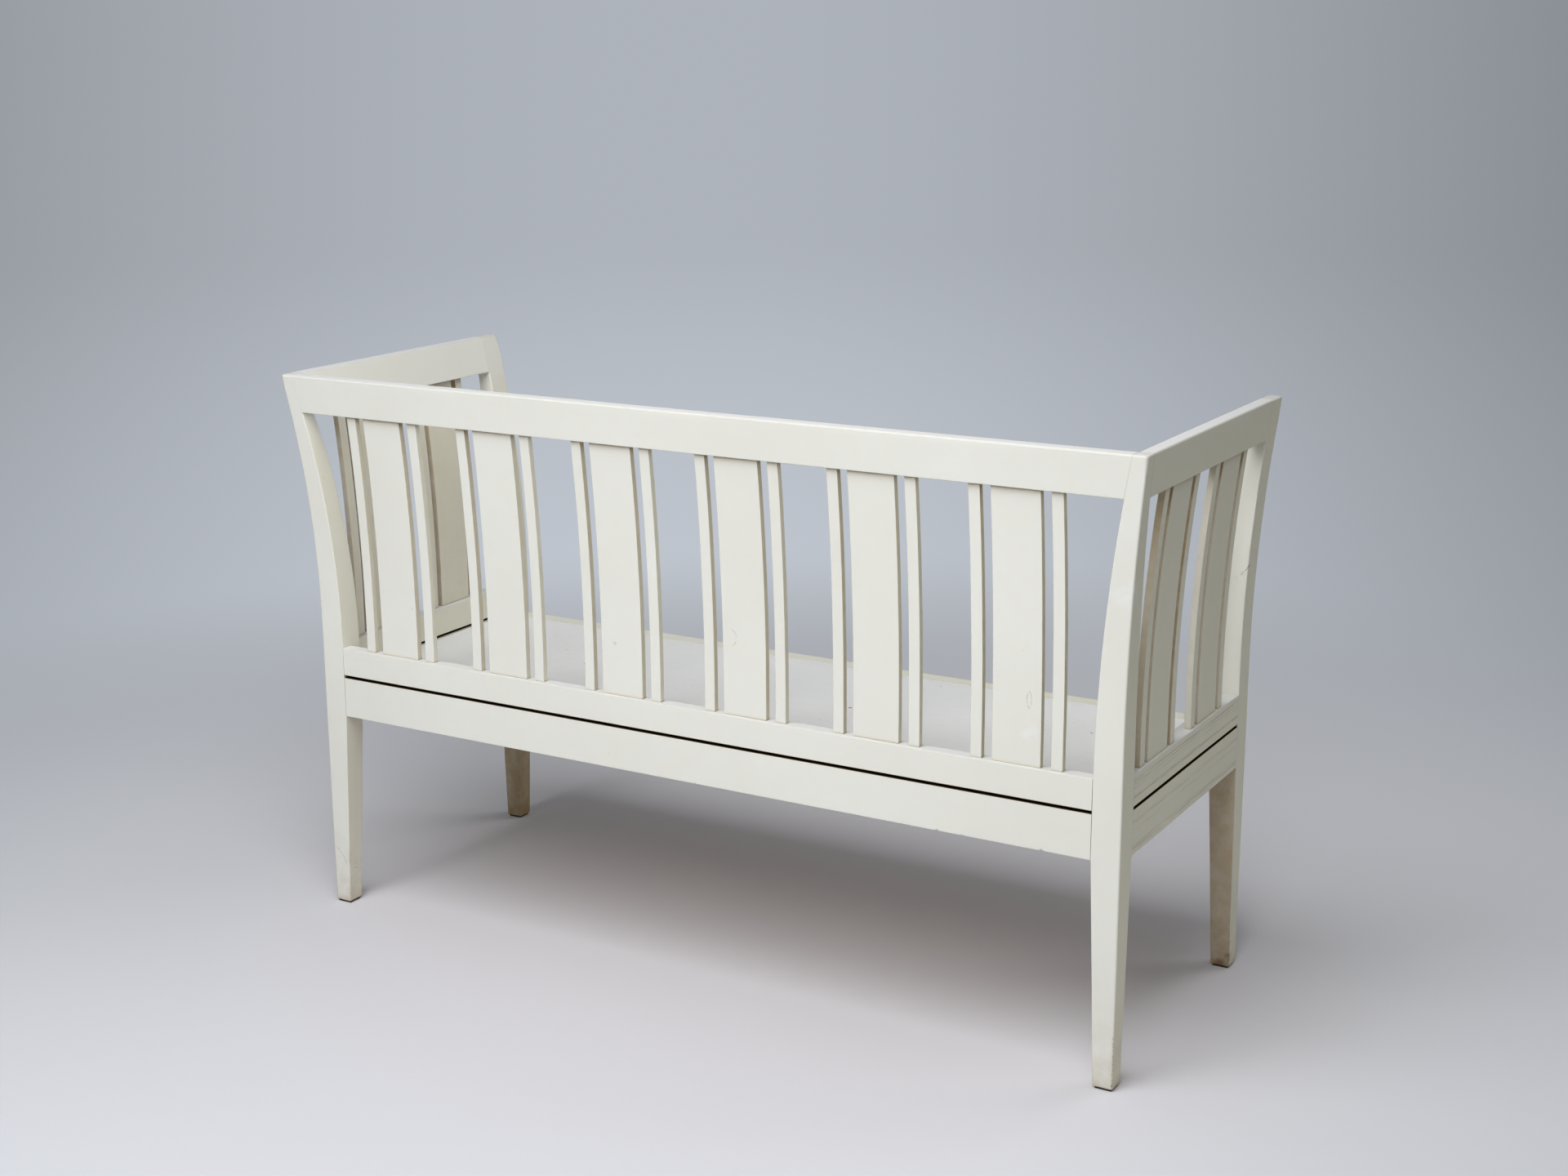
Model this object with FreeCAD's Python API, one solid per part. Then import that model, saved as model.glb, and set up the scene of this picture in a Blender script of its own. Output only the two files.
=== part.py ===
import FreeCAD, Part
import math
import os
from collections import defaultdict
from FreeCAD import Vector

# Painted pull-out bench bed with slatted back and ends. Millimetres, +Z up.
# X runs along the seat, the open front faces -Y and the slatted back stands at +Y.
# The origin is on the floor, under the middle of the whole bench. Left is -X.

# Overall sizes, over the outer faces of the posts at seat height
SEAT_LENGTH = 1397.0
SEAT_DEPTH = 510.0

# Heights, stacked from the floor
APRON_BOTTOM = 333.0
APRON_HEIGHT = 66.5
SHADOW_SLOT = 4.0
LOWER_RAIL_HEIGHT = 46.0
GALLERY_OPENING = 390.0
CREST_HEIGHT = 61.0

# Corner posts: square at the seat, tapered legs, sabre-curved above the seat
POST_WIDTH = 42.5
FOOT_WIDTH = 29.5
POST_TOP_WIDTH = 21.0
FLARE = 30.5
FLARE_DELAY = 40.5
EDGE_ROUND = 3.0
PAD_WIDTH = 24.0
PAD_THICKNESS = 3.5

# Rails and aprons between the posts
BACK_LOWER_RAIL_THICKNESS = 20.0
END_LOWER_RAIL_THICKNESS = 25.0
APRON_THICKNESS = 22.0

# Slats of the back and the ends, in groups of narrow, wide, narrow
SLAT_THICKNESS = 10.0
SLAT_INSET = 4.0
NARROW_SLAT = 17.0
BACK_WIDE_SLAT = 72.5
BACK_SLAT_GAP = 15.5
BACK_GROUPS = 6
END_WIDE_SLAT = 75.0
END_SLAT_GAP = 11.0
END_GROUPS = 2

# Shares of the room that the groups leave: beside the first group and beside the last one.
# The first is next to the left post on the back and next to the back post on the ends.
BACK_MARGIN_shares = (0.094, 0.102)
END_MARGIN_shares = (0.181, 0.417)

# Mortise and tenon joints
RAIL_TENON = 20.0
CREST_TENON = 6.5
CREST_TENON_GAP = 2.0
SLAT_TENON = 10.0
CROSS_TENON = 12.0
TENON_THICKNESS = 7.0
SLAT_TENON_THICKNESS = 6.0
TENON_SHOULDER = 10.0
SLAT_TENON_SHOULDER = 3.0
JOINT_FIT = 0.1

# Loose seat board
BOARD_THICKNESS = 10.0
BOARD_GAP = 2.0
REST_GAP = 0.3

# Bed slats, fixed and pull-out ones in turn, as many as fit with at least this gap
BED_SLAT_WIDTH = 38.0
BED_SLAT_GAP = 4.0
BED_SLAT_THICKNESS = 15.0
BED_END_GAP = 4.0
RUN = 0.5

# Pull-out frame
FRONT_SETBACK = 18.0
FRONT_APRON_THICKNESS = 27.0
FRONT_APRON_GAP = 1.5
BATTEN_WIDTH = 20.0
BATTEN_HEIGHT = 16.0
BATTEN_END_GAP = 14.0
CROSS_RAIL_THICKNESS = 25.0
CROSS_RAIL_HEIGHT = 38.0
REAR_CLEARANCE = 10.0
STOP_GAP = 1.9

# Fold-down legs of the pull-out frame
LEG_WIDTH = 24.0
LEG_DEPTH = 30.0
LEG_FOOT_WIDTH = 19.0
LEG_PIVOT_INSET = 42.0
LEG_CLEARANCE = 0.7
LEG_FLOOR_GAP = 1.0
BOLT_RADIUS = 4.0
BOLT_HEAD_RADIUS = 9.0
BOLT_HEAD_HEIGHT = 3.5
BOLT_GRIP = 20.0
BORE_FIT = 0.05

# Screws that hold the bed slats
SCREW_LENGTH = 26.0
SCREW_RADIUS = 1.75
SCREW_HEAD_RADIUS = 3.5
SCREW_HEAD_HEIGHT = 2.5

# Heights and faces that follow from the sizes above
APRON_TOP = APRON_BOTTOM + APRON_HEIGHT
LOWER_RAIL_BOTTOM = APRON_TOP + SHADOW_SLOT
LOWER_RAIL_TOP = LOWER_RAIL_BOTTOM + LOWER_RAIL_HEIGHT
CREST_BOTTOM = LOWER_RAIL_TOP + GALLERY_OPENING
TOP = CREST_BOTTOM + CREST_HEIGHT
HALF_LENGTH = SEAT_LENGTH / 2
POST_INNER_X = HALF_LENGTH - POST_WIDTH

FLARE_START = LOWER_RAIL_TOP + FLARE_DELAY
SABRE_REACH = POST_WIDTH - POST_TOP_WIDTH + FLARE


def arc_radius(rise, reach):
    """Radius of an arc that starts upright and leans out by reach over rise."""
    return (rise ** 2 + reach ** 2) / (2 * reach)


FLARE_RADIUS = arc_radius(TOP - FLARE_START, FLARE)
SABRE_RADIUS = arc_radius(TOP - LOWER_RAIL_TOP, SABRE_REACH)


def flare(z):
    """How far the outer face leans out at height z."""
    rise = max(z - FLARE_START, 0.0)
    return FLARE_RADIUS - math.sqrt(FLARE_RADIUS ** 2 - rise ** 2)


def sabre(z):
    """How far the inner face of a post leans out at height z."""
    rise = max(z - LOWER_RAIL_TOP, 0.0)
    return SABRE_RADIUS - math.sqrt(SABRE_RADIUS ** 2 - rise ** 2)


# The back flares past its seat-level face, so the seat lies forward of the origin
BACK_REACH = flare(TOP - EDGE_ROUND)
FRONT_Y = -(SEAT_DEPTH + BACK_REACH) / 2
BACK_Y = FRONT_Y + SEAT_DEPTH

pieces = {}
mortises = defaultdict(list)


def box(x0, x1, y0, y1, z0, z1):
    return Part.makeBox(x1 - x0, y1 - y0, z1 - z0, Vector(x0, y0, z0))


def outline(start, steps):
    """Closed face in the XZ plane. A step of one point is a line, one of two an arc."""
    edges = []
    last = Vector(start[0], 0, start[1])
    for step in steps:
        points = [Vector(a, 0, z) for a, z in step]
        if len(points) == 1:
            edges.append(Part.LineSegment(last, points[0]).toShape())
        else:
            edges.append(Part.Arc(last, points[0], points[1]).toShape())
        last = points[-1]
    return Part.Face(Part.Wire(edges))


def round_top(outer):
    """Steps of the rounded outer top edge, from its lower end to the flat top."""
    diagonal = EDGE_ROUND * math.sqrt(0.5)
    centre = (outer(TOP - EDGE_ROUND) - EDGE_ROUND, TOP - EDGE_ROUND)
    middle = (centre[0] + diagonal, centre[1] + diagonal)
    return [middle, (centre[0], TOP)]


def flared_post_outline():
    low = TOP - EDGE_ROUND
    middle = (FLARE_START + low) / 2
    inner_middle = (TOP + LOWER_RAIL_TOP) / 2
    return outline((-FOOT_WIDTH, PAD_THICKNESS), [
        [(0, PAD_THICKNESS)],
        [(0, FLARE_START)],
        [(flare(middle), middle), (flare(low), low)],
        round_top(flare),
        [(sabre(TOP) - POST_WIDTH, TOP)],
        [(sabre(inner_middle) - POST_WIDTH, inner_middle), (-POST_WIDTH, LOWER_RAIL_TOP)],
        [(-POST_WIDTH, APRON_BOTTOM)],
        [(-FOOT_WIDTH, PAD_THICKNESS)],
    ])


def straight_post_outline():
    return outline((-FOOT_WIDTH, PAD_THICKNESS), [
        [(0, PAD_THICKNESS)],
        [(0, TOP)],
        [(-POST_WIDTH, TOP)],
        [(-POST_WIDTH, APRON_BOTTOM)],
        [(-FOOT_WIDTH, PAD_THICKNESS)],
    ])


def post(side, back):
    """One corner post: its end view and its side view, sawn from the same square."""
    reach = POST_WIDTH + FLARE
    end_view = flared_post_outline()
    end_view.translate(Vector(0, -reach, 0))
    side_view = flared_post_outline() if back else straight_post_outline()
    side_view.rotate(Vector(), Vector(0, 0, 1), 90)
    side_view.translate(Vector(-reach, 0, 0))
    solid = end_view.extrude(Vector(0, 2 * reach, 0)).common(side_view.extrude(Vector(2 * reach, 0, 0)))
    if side < 0:
        solid = solid.mirror(Vector(), Vector(1, 0, 0))
    if not back:
        solid = solid.mirror(Vector(), Vector(0, 1, 0))
    solid.translate(Vector(side * HALF_LENGTH, BACK_Y if back else FRONT_Y, 0))
    return solid


def on_side(shape, side, along=0.0):
    """Takes a shape drawn along X, with its outer face at Y zero, to one side of the bench."""
    placed = shape.copy()
    if side == "back":
        placed.translate(Vector(along, BACK_Y, 0))
    elif side == "left":
        placed.rotate(Vector(), Vector(0, 0, 1), 90)
        placed.translate(Vector(-HALF_LENGTH, along, 0))
    else:
        placed.rotate(Vector(), Vector(0, 0, 1), -90)
        placed.translate(Vector(HALF_LENGTH, along, 0))
    return placed


def grown(bounds, fit):
    """A tenon's hole: the same box, larger by the fit on every side."""
    x0, x1, y0, y1, z0, z1 = bounds
    return box(x0 - fit, x1 + fit, y0 - fit, y1 + fit, z0 - fit, z1 + fit)


def posts():
    for side, hand in ((-1, "left"), (1, "right")):
        pieces["front_%s_post" % hand] = post(side, False)
        pieces["back_%s_post" % hand] = post(side, True)


def span(side):
    """Start and end of the straight stretch between two posts, and their names."""
    if side == "back":
        return -POST_INNER_X, POST_INNER_X, "back_left_post", "back_right_post"
    low, high = FRONT_Y + POST_WIDTH, BACK_Y - POST_WIDTH
    if side == "left":
        return low, high, "front_left_post", "back_left_post"
    return -high, -low, "back_right_post", "front_right_post"


def straight_rail(name, side, thickness, bottom, top):
    """A board between two posts, flush with their outer faces, with a tenon at each end."""
    start, end, first, last = span(side)
    solid = box(start, end, -thickness, 0, bottom, top)
    middle = -thickness / 2
    low, high = bottom + TENON_SHOULDER, top - TENON_SHOULDER
    for x0, x1, host in ((start - RAIL_TENON, start, first), (end, end + RAIL_TENON, last)):
        bounds = (x0, x1, middle - TENON_THICKNESS / 2, middle + TENON_THICKNESS / 2, low, high)
        solid = solid.fuse(box(*bounds))
        mortises[host].append(on_side(grown(bounds, JOINT_FIT), side))
    pieces[name] = on_side(solid.removeSplitter(), side)


def crest_outline():
    """Section of a crest rail: it leans out with the posts and is flush with both of their faces."""
    low = TOP - EDGE_ROUND
    middle = (CREST_BOTTOM + low) / 2
    inner_middle = (CREST_BOTTOM + TOP) / 2
    return outline((sabre(CREST_BOTTOM) - POST_WIDTH, CREST_BOTTOM), [
        [(flare(CREST_BOTTOM), CREST_BOTTOM)],
        [(flare(middle), middle), (flare(low), low)],
        round_top(flare),
        [(sabre(TOP) - POST_WIDTH, TOP)],
        [
            (sabre(inner_middle) - POST_WIDTH, inner_middle),
            (sabre(CREST_BOTTOM) - POST_WIDTH, CREST_BOTTOM),
        ],
    ])


def crest_tenon_heights(side):
    """In the back posts the back crest's tenons sit above those of the arm rails."""
    middle = (CREST_BOTTOM + TOP) / 2
    if side == "back":
        return middle + CREST_TENON_GAP / 2, TOP - TENON_SHOULDER
    return CREST_BOTTOM + TENON_SHOULDER, middle - CREST_TENON_GAP / 2


def crest_rail(name, side):
    """A crest rail that butts between two posts, with a short tenon at each end."""
    start, end, first, last = span(side)
    section = crest_outline()
    section.rotate(Vector(), Vector(0, 0, 1), 90)
    overrun = SABRE_REACH + POST_TOP_WIDTH / 2
    section.translate(Vector(start - overrun, 0, 0))
    length = end - start + 2 * overrun
    rail = on_side(section.extrude(Vector(length, 0, 0)), side)
    rail = rail.cut(pieces[first]).cut(pieces[last])
    rail = max(rail.Solids, key=lambda solid: solid.Volume)
    low, high = crest_tenon_heights(side)
    middle = flare((low + high) / 2) - POST_TOP_WIDTH / 2
    for edge, outward, host in ((start, -1, first), (end, 1, last)):
        curved = side == "back" or host.startswith("back")
        shoulder = edge + outward * (sabre(low) if curved else 0)
        deep = edge + outward * (sabre(high) + CREST_TENON if curved else RAIL_TENON)
        x0, x1 = sorted((shoulder - outward * CREST_TENON, deep))
        bounds = (x0, x1, middle - TENON_THICKNESS / 2, middle + TENON_THICKNESS / 2, low, high)
        rail = rail.fuse(on_side(box(*bounds), side))
        mortises[host].append(on_side(grown(bounds, JOINT_FIT), side))
    pieces[name] = rail.removeSplitter()


def rails():
    for side in ("back", "left", "right"):
        thickness = BACK_LOWER_RAIL_THICKNESS if side == "back" else END_LOWER_RAIL_THICKNESS
        straight_rail(side + "_lower_rail", side, thickness, LOWER_RAIL_BOTTOM, LOWER_RAIL_TOP)
        straight_rail(side + "_apron", side, APRON_THICKNESS, APRON_BOTTOM, APRON_TOP)
        crest_rail("back_crest_rail" if side == "back" else side + "_arm_rail", side)


def slat(width):
    """A curved slat that stands on the lower rail, without its tenons."""
    outer, inner = -SLAT_INSET, -SLAT_INSET - SLAT_THICKNESS
    middle = (FLARE_START + CREST_BOTTOM) / 2
    face = outline((inner, LOWER_RAIL_TOP), [
        [(outer, LOWER_RAIL_TOP)],
        [(outer, FLARE_START)],
        [(outer + flare(middle), middle), (outer + flare(CREST_BOTTOM), CREST_BOTTOM)],
        [(inner + flare(CREST_BOTTOM), CREST_BOTTOM)],
        [(inner + flare(middle), middle), (inner, FLARE_START)],
        [(inner, LOWER_RAIL_TOP)],
    ])
    face.rotate(Vector(), Vector(0, 0, 1), 90)
    face.translate(Vector(-width / 2, 0, 0))
    return face.extrude(Vector(width, 0, 0))


def slat_tenons(width):
    """Bounds of the foot tenon and the head tenon of a slat."""
    half = width / 2 - SLAT_TENON_SHOULDER
    foot = -SLAT_INSET - SLAT_THICKNESS / 2
    head = foot + flare(CREST_BOTTOM + SLAT_TENON / 2)
    cheek = SLAT_TENON_THICKNESS / 2
    return (
        (-half, half, foot - cheek, foot + cheek, LOWER_RAIL_TOP - SLAT_TENON, LOWER_RAIL_TOP),
        (-half, half, head - cheek, head + cheek, CREST_BOTTOM, CREST_BOTTOM + SLAT_TENON),
    )


def add_slat(name, side, along, width, crest):
    solid = slat(width)
    for bounds, host in zip(slat_tenons(width), (side + "_lower_rail", crest)):
        solid = solid.fuse(box(*bounds))
        mortises[host].append(on_side(grown(bounds, JOINT_FIT), side, along))
    pieces[name] = on_side(solid.removeSplitter(), side, along)


def group_centres(room, group, count, margin_shares):
    """Middles of the groups, measured from the start of the room between two posts."""
    spare = room - count * group
    between = spare * (1 - sum(margin_shares)) / (count - 1)
    first = spare * margin_shares[0] + group / 2
    return [first + index * (group + between) for index in range(count)]


def slat_group(side, number, centre, wide, gap, crest):
    """Narrow, wide, narrow."""
    offset = wide / 2 + gap + NARROW_SLAT / 2
    add_slat("%s_narrow_slat_%d" % (side, 2 * number - 1), side, centre - offset, NARROW_SLAT, crest)
    add_slat("%s_wide_slat_%d" % (side, number), side, centre, wide, crest)
    add_slat("%s_narrow_slat_%d" % (side, 2 * number), side, centre + offset, NARROW_SLAT, crest)


def galleries():
    group = BACK_WIDE_SLAT + 2 * (BACK_SLAT_GAP + NARROW_SLAT)
    room = SEAT_LENGTH - 2 * POST_WIDTH
    for index, along in enumerate(group_centres(room, group, BACK_GROUPS, BACK_MARGIN_shares)):
        centre = along - POST_INNER_X
        slat_group("back", index + 1, centre, BACK_WIDE_SLAT, BACK_SLAT_GAP, "back_crest_rail")
    group = END_WIDE_SLAT + 2 * (END_SLAT_GAP + NARROW_SLAT)
    room = SEAT_DEPTH - 2 * POST_WIDTH
    for index, along in enumerate(group_centres(room, group, END_GROUPS, END_MARGIN_shares)):
        centre = BACK_Y - POST_WIDTH - along
        for side in ("left", "right"):
            slat_group(side, index + 1, centre, END_WIDE_SLAT, END_SLAT_GAP, side + "_arm_rail")


def foot_pads():
    inset = (FOOT_WIDTH - PAD_WIDTH) / 2
    near, far = HALF_LENGTH - inset - PAD_WIDTH, HALF_LENGTH - inset
    rows = ((FRONT_Y + inset, FRONT_Y + inset + PAD_WIDTH), (BACK_Y - inset - PAD_WIDTH, BACK_Y - inset))
    pads = []
    for y0, y1 in rows:
        pads.append(box(near, far, y0, y1, 0, PAD_THICKNESS))
        pads.append(box(-far, -near, y0, y1, 0, PAD_THICKNESS))
    pieces["foot_pads"] = Part.makeCompound(pads)


# Levels of the bed: board on fixed slats, pull-out slats a little lower between them
FIXED_SLAT_TOP = APRON_TOP - BOARD_THICKNESS - REST_GAP
FIXED_SLAT_BOTTOM = FIXED_SLAT_TOP - BED_SLAT_THICKNESS
MOVING_SLAT_TOP = FIXED_SLAT_TOP - RUN
MOVING_SLAT_BOTTOM = FIXED_SLAT_BOTTOM - RUN
BATTEN_BOTTOM = MOVING_SLAT_BOTTOM - BATTEN_HEIGHT

# Places from front to back
FRONT_APRON_FACE = FRONT_Y + FRONT_SETBACK
FRONT_APRON_BACK = FRONT_APRON_FACE + FRONT_APRON_THICKNESS
LEG_FACE = FRONT_APRON_BACK + REST_GAP
LEG_BACK = LEG_FACE + LEG_DEPTH
BOLT_HEAD_FACE = LEG_BACK + REST_GAP
CROSS_RAIL_FACE = BOLT_HEAD_FACE + BOLT_HEAD_HEIGHT + BOARD_GAP
CROSS_RAIL_BACK = CROSS_RAIL_FACE + CROSS_RAIL_THICKNESS
BACK_APRON_INNER = BACK_Y - APRON_THICKNESS
LEDGER_FACE = BACK_APRON_INNER - BATTEN_WIDTH
REAR_BATTEN_BACK = LEDGER_FACE - REAR_CLEARANCE
REAR_BATTEN_FACE = REAR_BATTEN_BACK - BATTEN_WIDTH
PULL_TRAVEL = REAR_BATTEN_FACE - CROSS_RAIL_BACK - STOP_GAP

# Places along the seat
BATTEN_HALF = POST_INNER_X - BATTEN_END_GAP
OUTER_SLAT = POST_INNER_X - BED_END_GAP - BED_SLAT_WIDTH / 2
SLAT_PAIRS = int(OUTER_SLAT / (BED_SLAT_WIDTH + BED_SLAT_GAP))
PAIR_PITCH = 2 * OUTER_SLAT / SLAT_PAIRS


def fixed_slat_places():
    return [index * PAIR_PITCH - OUTER_SLAT for index in range(SLAT_PAIRS + 1)]


def moving_slat_places():
    places = fixed_slat_places()
    return [(first + second) / 2 for first, second in zip(places, places[1:])]


def screw(x, y, top, fit=0.0):
    """A countersunk wood screw, head up and flush with top."""
    head = Part.makeCone(
        SCREW_RADIUS + fit, SCREW_HEAD_RADIUS + fit, SCREW_HEAD_HEIGHT, Vector(x, y, top - SCREW_HEAD_HEIGHT)
    )
    shank = Part.makeCylinder(SCREW_RADIUS + fit, SCREW_LENGTH + fit, Vector(x, y, top - SCREW_LENGTH - fit))
    return head.fuse(shank).removeSplitter()


def bed_slats(name, screws_name, places, y0, y1, bottom, top, hosts):
    """A row of bed slats, screwed down on two battens. hosts gives each batten's middle."""
    slats = []
    screws = []
    for x in places:
        slat_solid = box(x - BED_SLAT_WIDTH / 2, x + BED_SLAT_WIDTH / 2, y0, y1, bottom, top)
        for host, y in hosts:
            hole = screw(x, y, top, BORE_FIT)
            slat_solid = slat_solid.cut(hole)
            mortises[host].append(hole)
            screws.append(screw(x, y, top))
        slats.append(slat_solid)
    pieces[name] = Part.makeCompound(slats)
    pieces[screws_name] = Part.makeCompound(screws)


def fixed_bed():
    inner = HALF_LENGTH - APRON_THICKNESS
    rail = box(-inner, inner, CROSS_RAIL_FACE, CROSS_RAIL_BACK, FIXED_SLAT_BOTTOM - CROSS_RAIL_HEIGHT,
               FIXED_SLAT_BOTTOM)
    notch_half = BED_SLAT_WIDTH / 2 + RUN
    for x in moving_slat_places():
        floor = MOVING_SLAT_BOTTOM - RUN
        rail = rail.cut(box(x - notch_half, x + notch_half, CROSS_RAIL_FACE, CROSS_RAIL_BACK, floor,
                            FIXED_SLAT_BOTTOM))
    middle = (CROSS_RAIL_FACE + CROSS_RAIL_BACK) / 2
    low = FIXED_SLAT_BOTTOM - CROSS_RAIL_HEIGHT + TENON_SHOULDER
    high = FIXED_SLAT_BOTTOM - TENON_SHOULDER
    for x0, x1, host in ((-inner - CROSS_TENON, -inner, "left_apron"), (inner, inner + CROSS_TENON, "right_apron")):
        bounds = (x0, x1, middle - TENON_THICKNESS / 2, middle + TENON_THICKNESS / 2, low, high)
        rail = rail.fuse(box(*bounds))
        mortises[host].append(grown(bounds, JOINT_FIT))
    pieces["front_cross_rail"] = rail.removeSplitter()

    pieces["back_slat_ledger"] = box(-POST_INNER_X, POST_INNER_X, LEDGER_FACE, BACK_APRON_INNER,
                                     FIXED_SLAT_BOTTOM - BATTEN_HEIGHT, FIXED_SLAT_BOTTOM)
    hosts = (("front_cross_rail", middle), ("back_slat_ledger", (LEDGER_FACE + BACK_APRON_INNER) / 2))
    bed_slats("fixed_bed_slats", "fixed_slat_screws", fixed_slat_places(), CROSS_RAIL_FACE, BACK_APRON_INNER,
              FIXED_SLAT_BOTTOM, FIXED_SLAT_TOP, hosts)


def seat_board():
    """The loose board, notched round the back posts."""
    half = HALF_LENGTH - END_LOWER_RAIL_THICKNESS - BOARD_GAP
    front, back = FRONT_APRON_BACK + BOARD_GAP, BACK_APRON_INNER - BOARD_GAP
    bottom = APRON_TOP - BOARD_THICKNESS
    board = box(-half, half, front, back, bottom, APRON_TOP)
    corner = POST_WIDTH + BOARD_GAP
    for side in (-1, 1):
        x0, x1 = sorted((side * HALF_LENGTH, side * (HALF_LENGTH - corner)))
        board = board.cut(box(x0, x1, BACK_Y - corner, BACK_Y, bottom, APRON_TOP))
        board = board.cut(box(x0, x1, FRONT_Y, FRONT_Y + corner, bottom, APRON_TOP))
    pieces["seat_board"] = board


def pull_out_frame():
    half = POST_INNER_X - FRONT_APRON_GAP
    pieces["pullout_front_apron"] = box(-half, half, FRONT_APRON_FACE, FRONT_APRON_BACK, APRON_BOTTOM, APRON_TOP)
    pieces["pullout_front_batten"] = box(-BATTEN_HALF, BATTEN_HALF, FRONT_APRON_BACK,
                                         FRONT_APRON_BACK + BATTEN_WIDTH, BATTEN_BOTTOM, MOVING_SLAT_BOTTOM)
    pieces["pullout_rear_batten"] = box(-BATTEN_HALF, BATTEN_HALF, REAR_BATTEN_FACE, REAR_BATTEN_BACK,
                                        BATTEN_BOTTOM, MOVING_SLAT_BOTTOM)
    hosts = (
        ("pullout_front_batten", FRONT_APRON_BACK + BATTEN_WIDTH / 2),
        ("pullout_rear_batten", REAR_BATTEN_FACE + BATTEN_WIDTH / 2),
    )
    bed_slats("pullout_bed_slats", "pullout_slat_screws", moving_slat_places(), FRONT_APRON_BACK,
              REAR_BATTEN_BACK, MOVING_SLAT_BOTTOM, MOVING_SLAT_TOP, hosts)


def fold_legs():
    """Two legs behind the front apron, stored lying towards the middle, each on a bolt."""
    pivot_z = BATTEN_BOTTOM - LEG_CLEARANCE - LEG_WIDTH / 2
    pivot_x = POST_INNER_X - LEG_PIVOT_INSET
    length = pivot_z - LEG_FLOOR_GAP
    top, foot = LEG_WIDTH / 2, LEG_FOOT_WIDTH / 2
    face = outline((0, top), [
        [(-top, 0), (0, -top)],
        [(length, -foot)],
        [(length, foot)],
        [(0, top)],
    ])
    leg = face.extrude(Vector(0, LEG_DEPTH, 0))
    bore = Part.makeCylinder(BOLT_RADIUS + BORE_FIT, LEG_DEPTH, Vector(), Vector(0, 1, 0))
    leg = leg.cut(bore)
    bolts = []
    for side, hand in ((-1, "left"), (1, "right")):
        placed = leg if side < 0 else leg.mirror(Vector(), Vector(1, 0, 0))
        placed = placed.copy()
        placed.translate(Vector(side * pivot_x, LEG_FACE, pivot_z))
        pieces[hand + "_fold_leg"] = placed
        start = Vector(side * pivot_x, FRONT_APRON_BACK - BOLT_GRIP, pivot_z)
        shank_length = BOLT_HEAD_FACE - start.y
        shank = Part.makeCylinder(BOLT_RADIUS, shank_length, start, Vector(0, 1, 0))
        head = Part.makeCylinder(BOLT_HEAD_RADIUS, BOLT_HEAD_HEIGHT, Vector(start.x, BOLT_HEAD_FACE, pivot_z),
                                 Vector(0, 1, 0))
        bolts.append(shank.fuse(head).removeSplitter())
        hole = Part.makeCylinder(BOLT_RADIUS + BORE_FIT, BOLT_GRIP, start, Vector(0, 1, 0))
        mortises["pullout_front_apron"].append(hole)
        print("leg pivot", hand, round(start.x, 3), round(LEG_FACE + LEG_DEPTH / 2, 3), round(pivot_z, 3))
    pieces["leg_pivot_bolts"] = Part.makeCompound(bolts)


posts()
rails()
galleries()
foot_pads()
fixed_bed()
seat_board()
pull_out_frame()
fold_legs()

for host, holes in mortises.items():
    pieces[host] = pieces[host].cut(Part.makeCompound(holes))

os.makedirs("parts", exist_ok=True)
for name, shape in pieces.items():
    solids = shape.Solids
    solid = solids[0] if len(solids) == 1 else Part.makeCompound(solids)
    solid.exportStep("parts/%s.step" % name)

print("nodes", len(pieces), "front y", round(FRONT_Y, 3), "back y", round(BACK_Y, 3), "reach", round(BACK_REACH, 3))
print("travel", round(PULL_TRAVEL, 3), "fixed slats", SLAT_PAIRS + 1, "slat pitch", round(PAIR_PITCH, 3))
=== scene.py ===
import math

import bpy
import numpy as np
from mathutils import Matrix, Vector


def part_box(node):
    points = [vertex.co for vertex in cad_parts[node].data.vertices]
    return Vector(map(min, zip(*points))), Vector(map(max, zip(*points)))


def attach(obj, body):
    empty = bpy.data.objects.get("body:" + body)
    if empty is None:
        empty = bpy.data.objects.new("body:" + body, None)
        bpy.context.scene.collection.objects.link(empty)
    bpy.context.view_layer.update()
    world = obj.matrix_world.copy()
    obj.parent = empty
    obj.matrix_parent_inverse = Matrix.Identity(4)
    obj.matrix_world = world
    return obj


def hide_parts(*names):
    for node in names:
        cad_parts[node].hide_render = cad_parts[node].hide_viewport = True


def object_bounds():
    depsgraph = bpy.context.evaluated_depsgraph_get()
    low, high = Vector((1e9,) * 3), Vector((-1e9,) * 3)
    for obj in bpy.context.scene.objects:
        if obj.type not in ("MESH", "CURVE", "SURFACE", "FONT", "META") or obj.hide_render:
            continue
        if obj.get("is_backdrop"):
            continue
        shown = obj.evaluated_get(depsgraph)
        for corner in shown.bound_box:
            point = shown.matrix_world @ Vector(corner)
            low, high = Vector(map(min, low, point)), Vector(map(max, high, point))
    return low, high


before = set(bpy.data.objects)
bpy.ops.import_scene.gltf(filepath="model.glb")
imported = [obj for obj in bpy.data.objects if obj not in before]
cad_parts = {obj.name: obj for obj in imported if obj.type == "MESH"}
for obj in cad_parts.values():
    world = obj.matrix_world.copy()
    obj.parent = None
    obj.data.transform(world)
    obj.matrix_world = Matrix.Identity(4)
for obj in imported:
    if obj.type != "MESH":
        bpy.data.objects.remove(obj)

# Pull-out bench bed in old ivory paint. Metres, +Z up, the slatted back stands at +Y.
cadLow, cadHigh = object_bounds()

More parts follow.
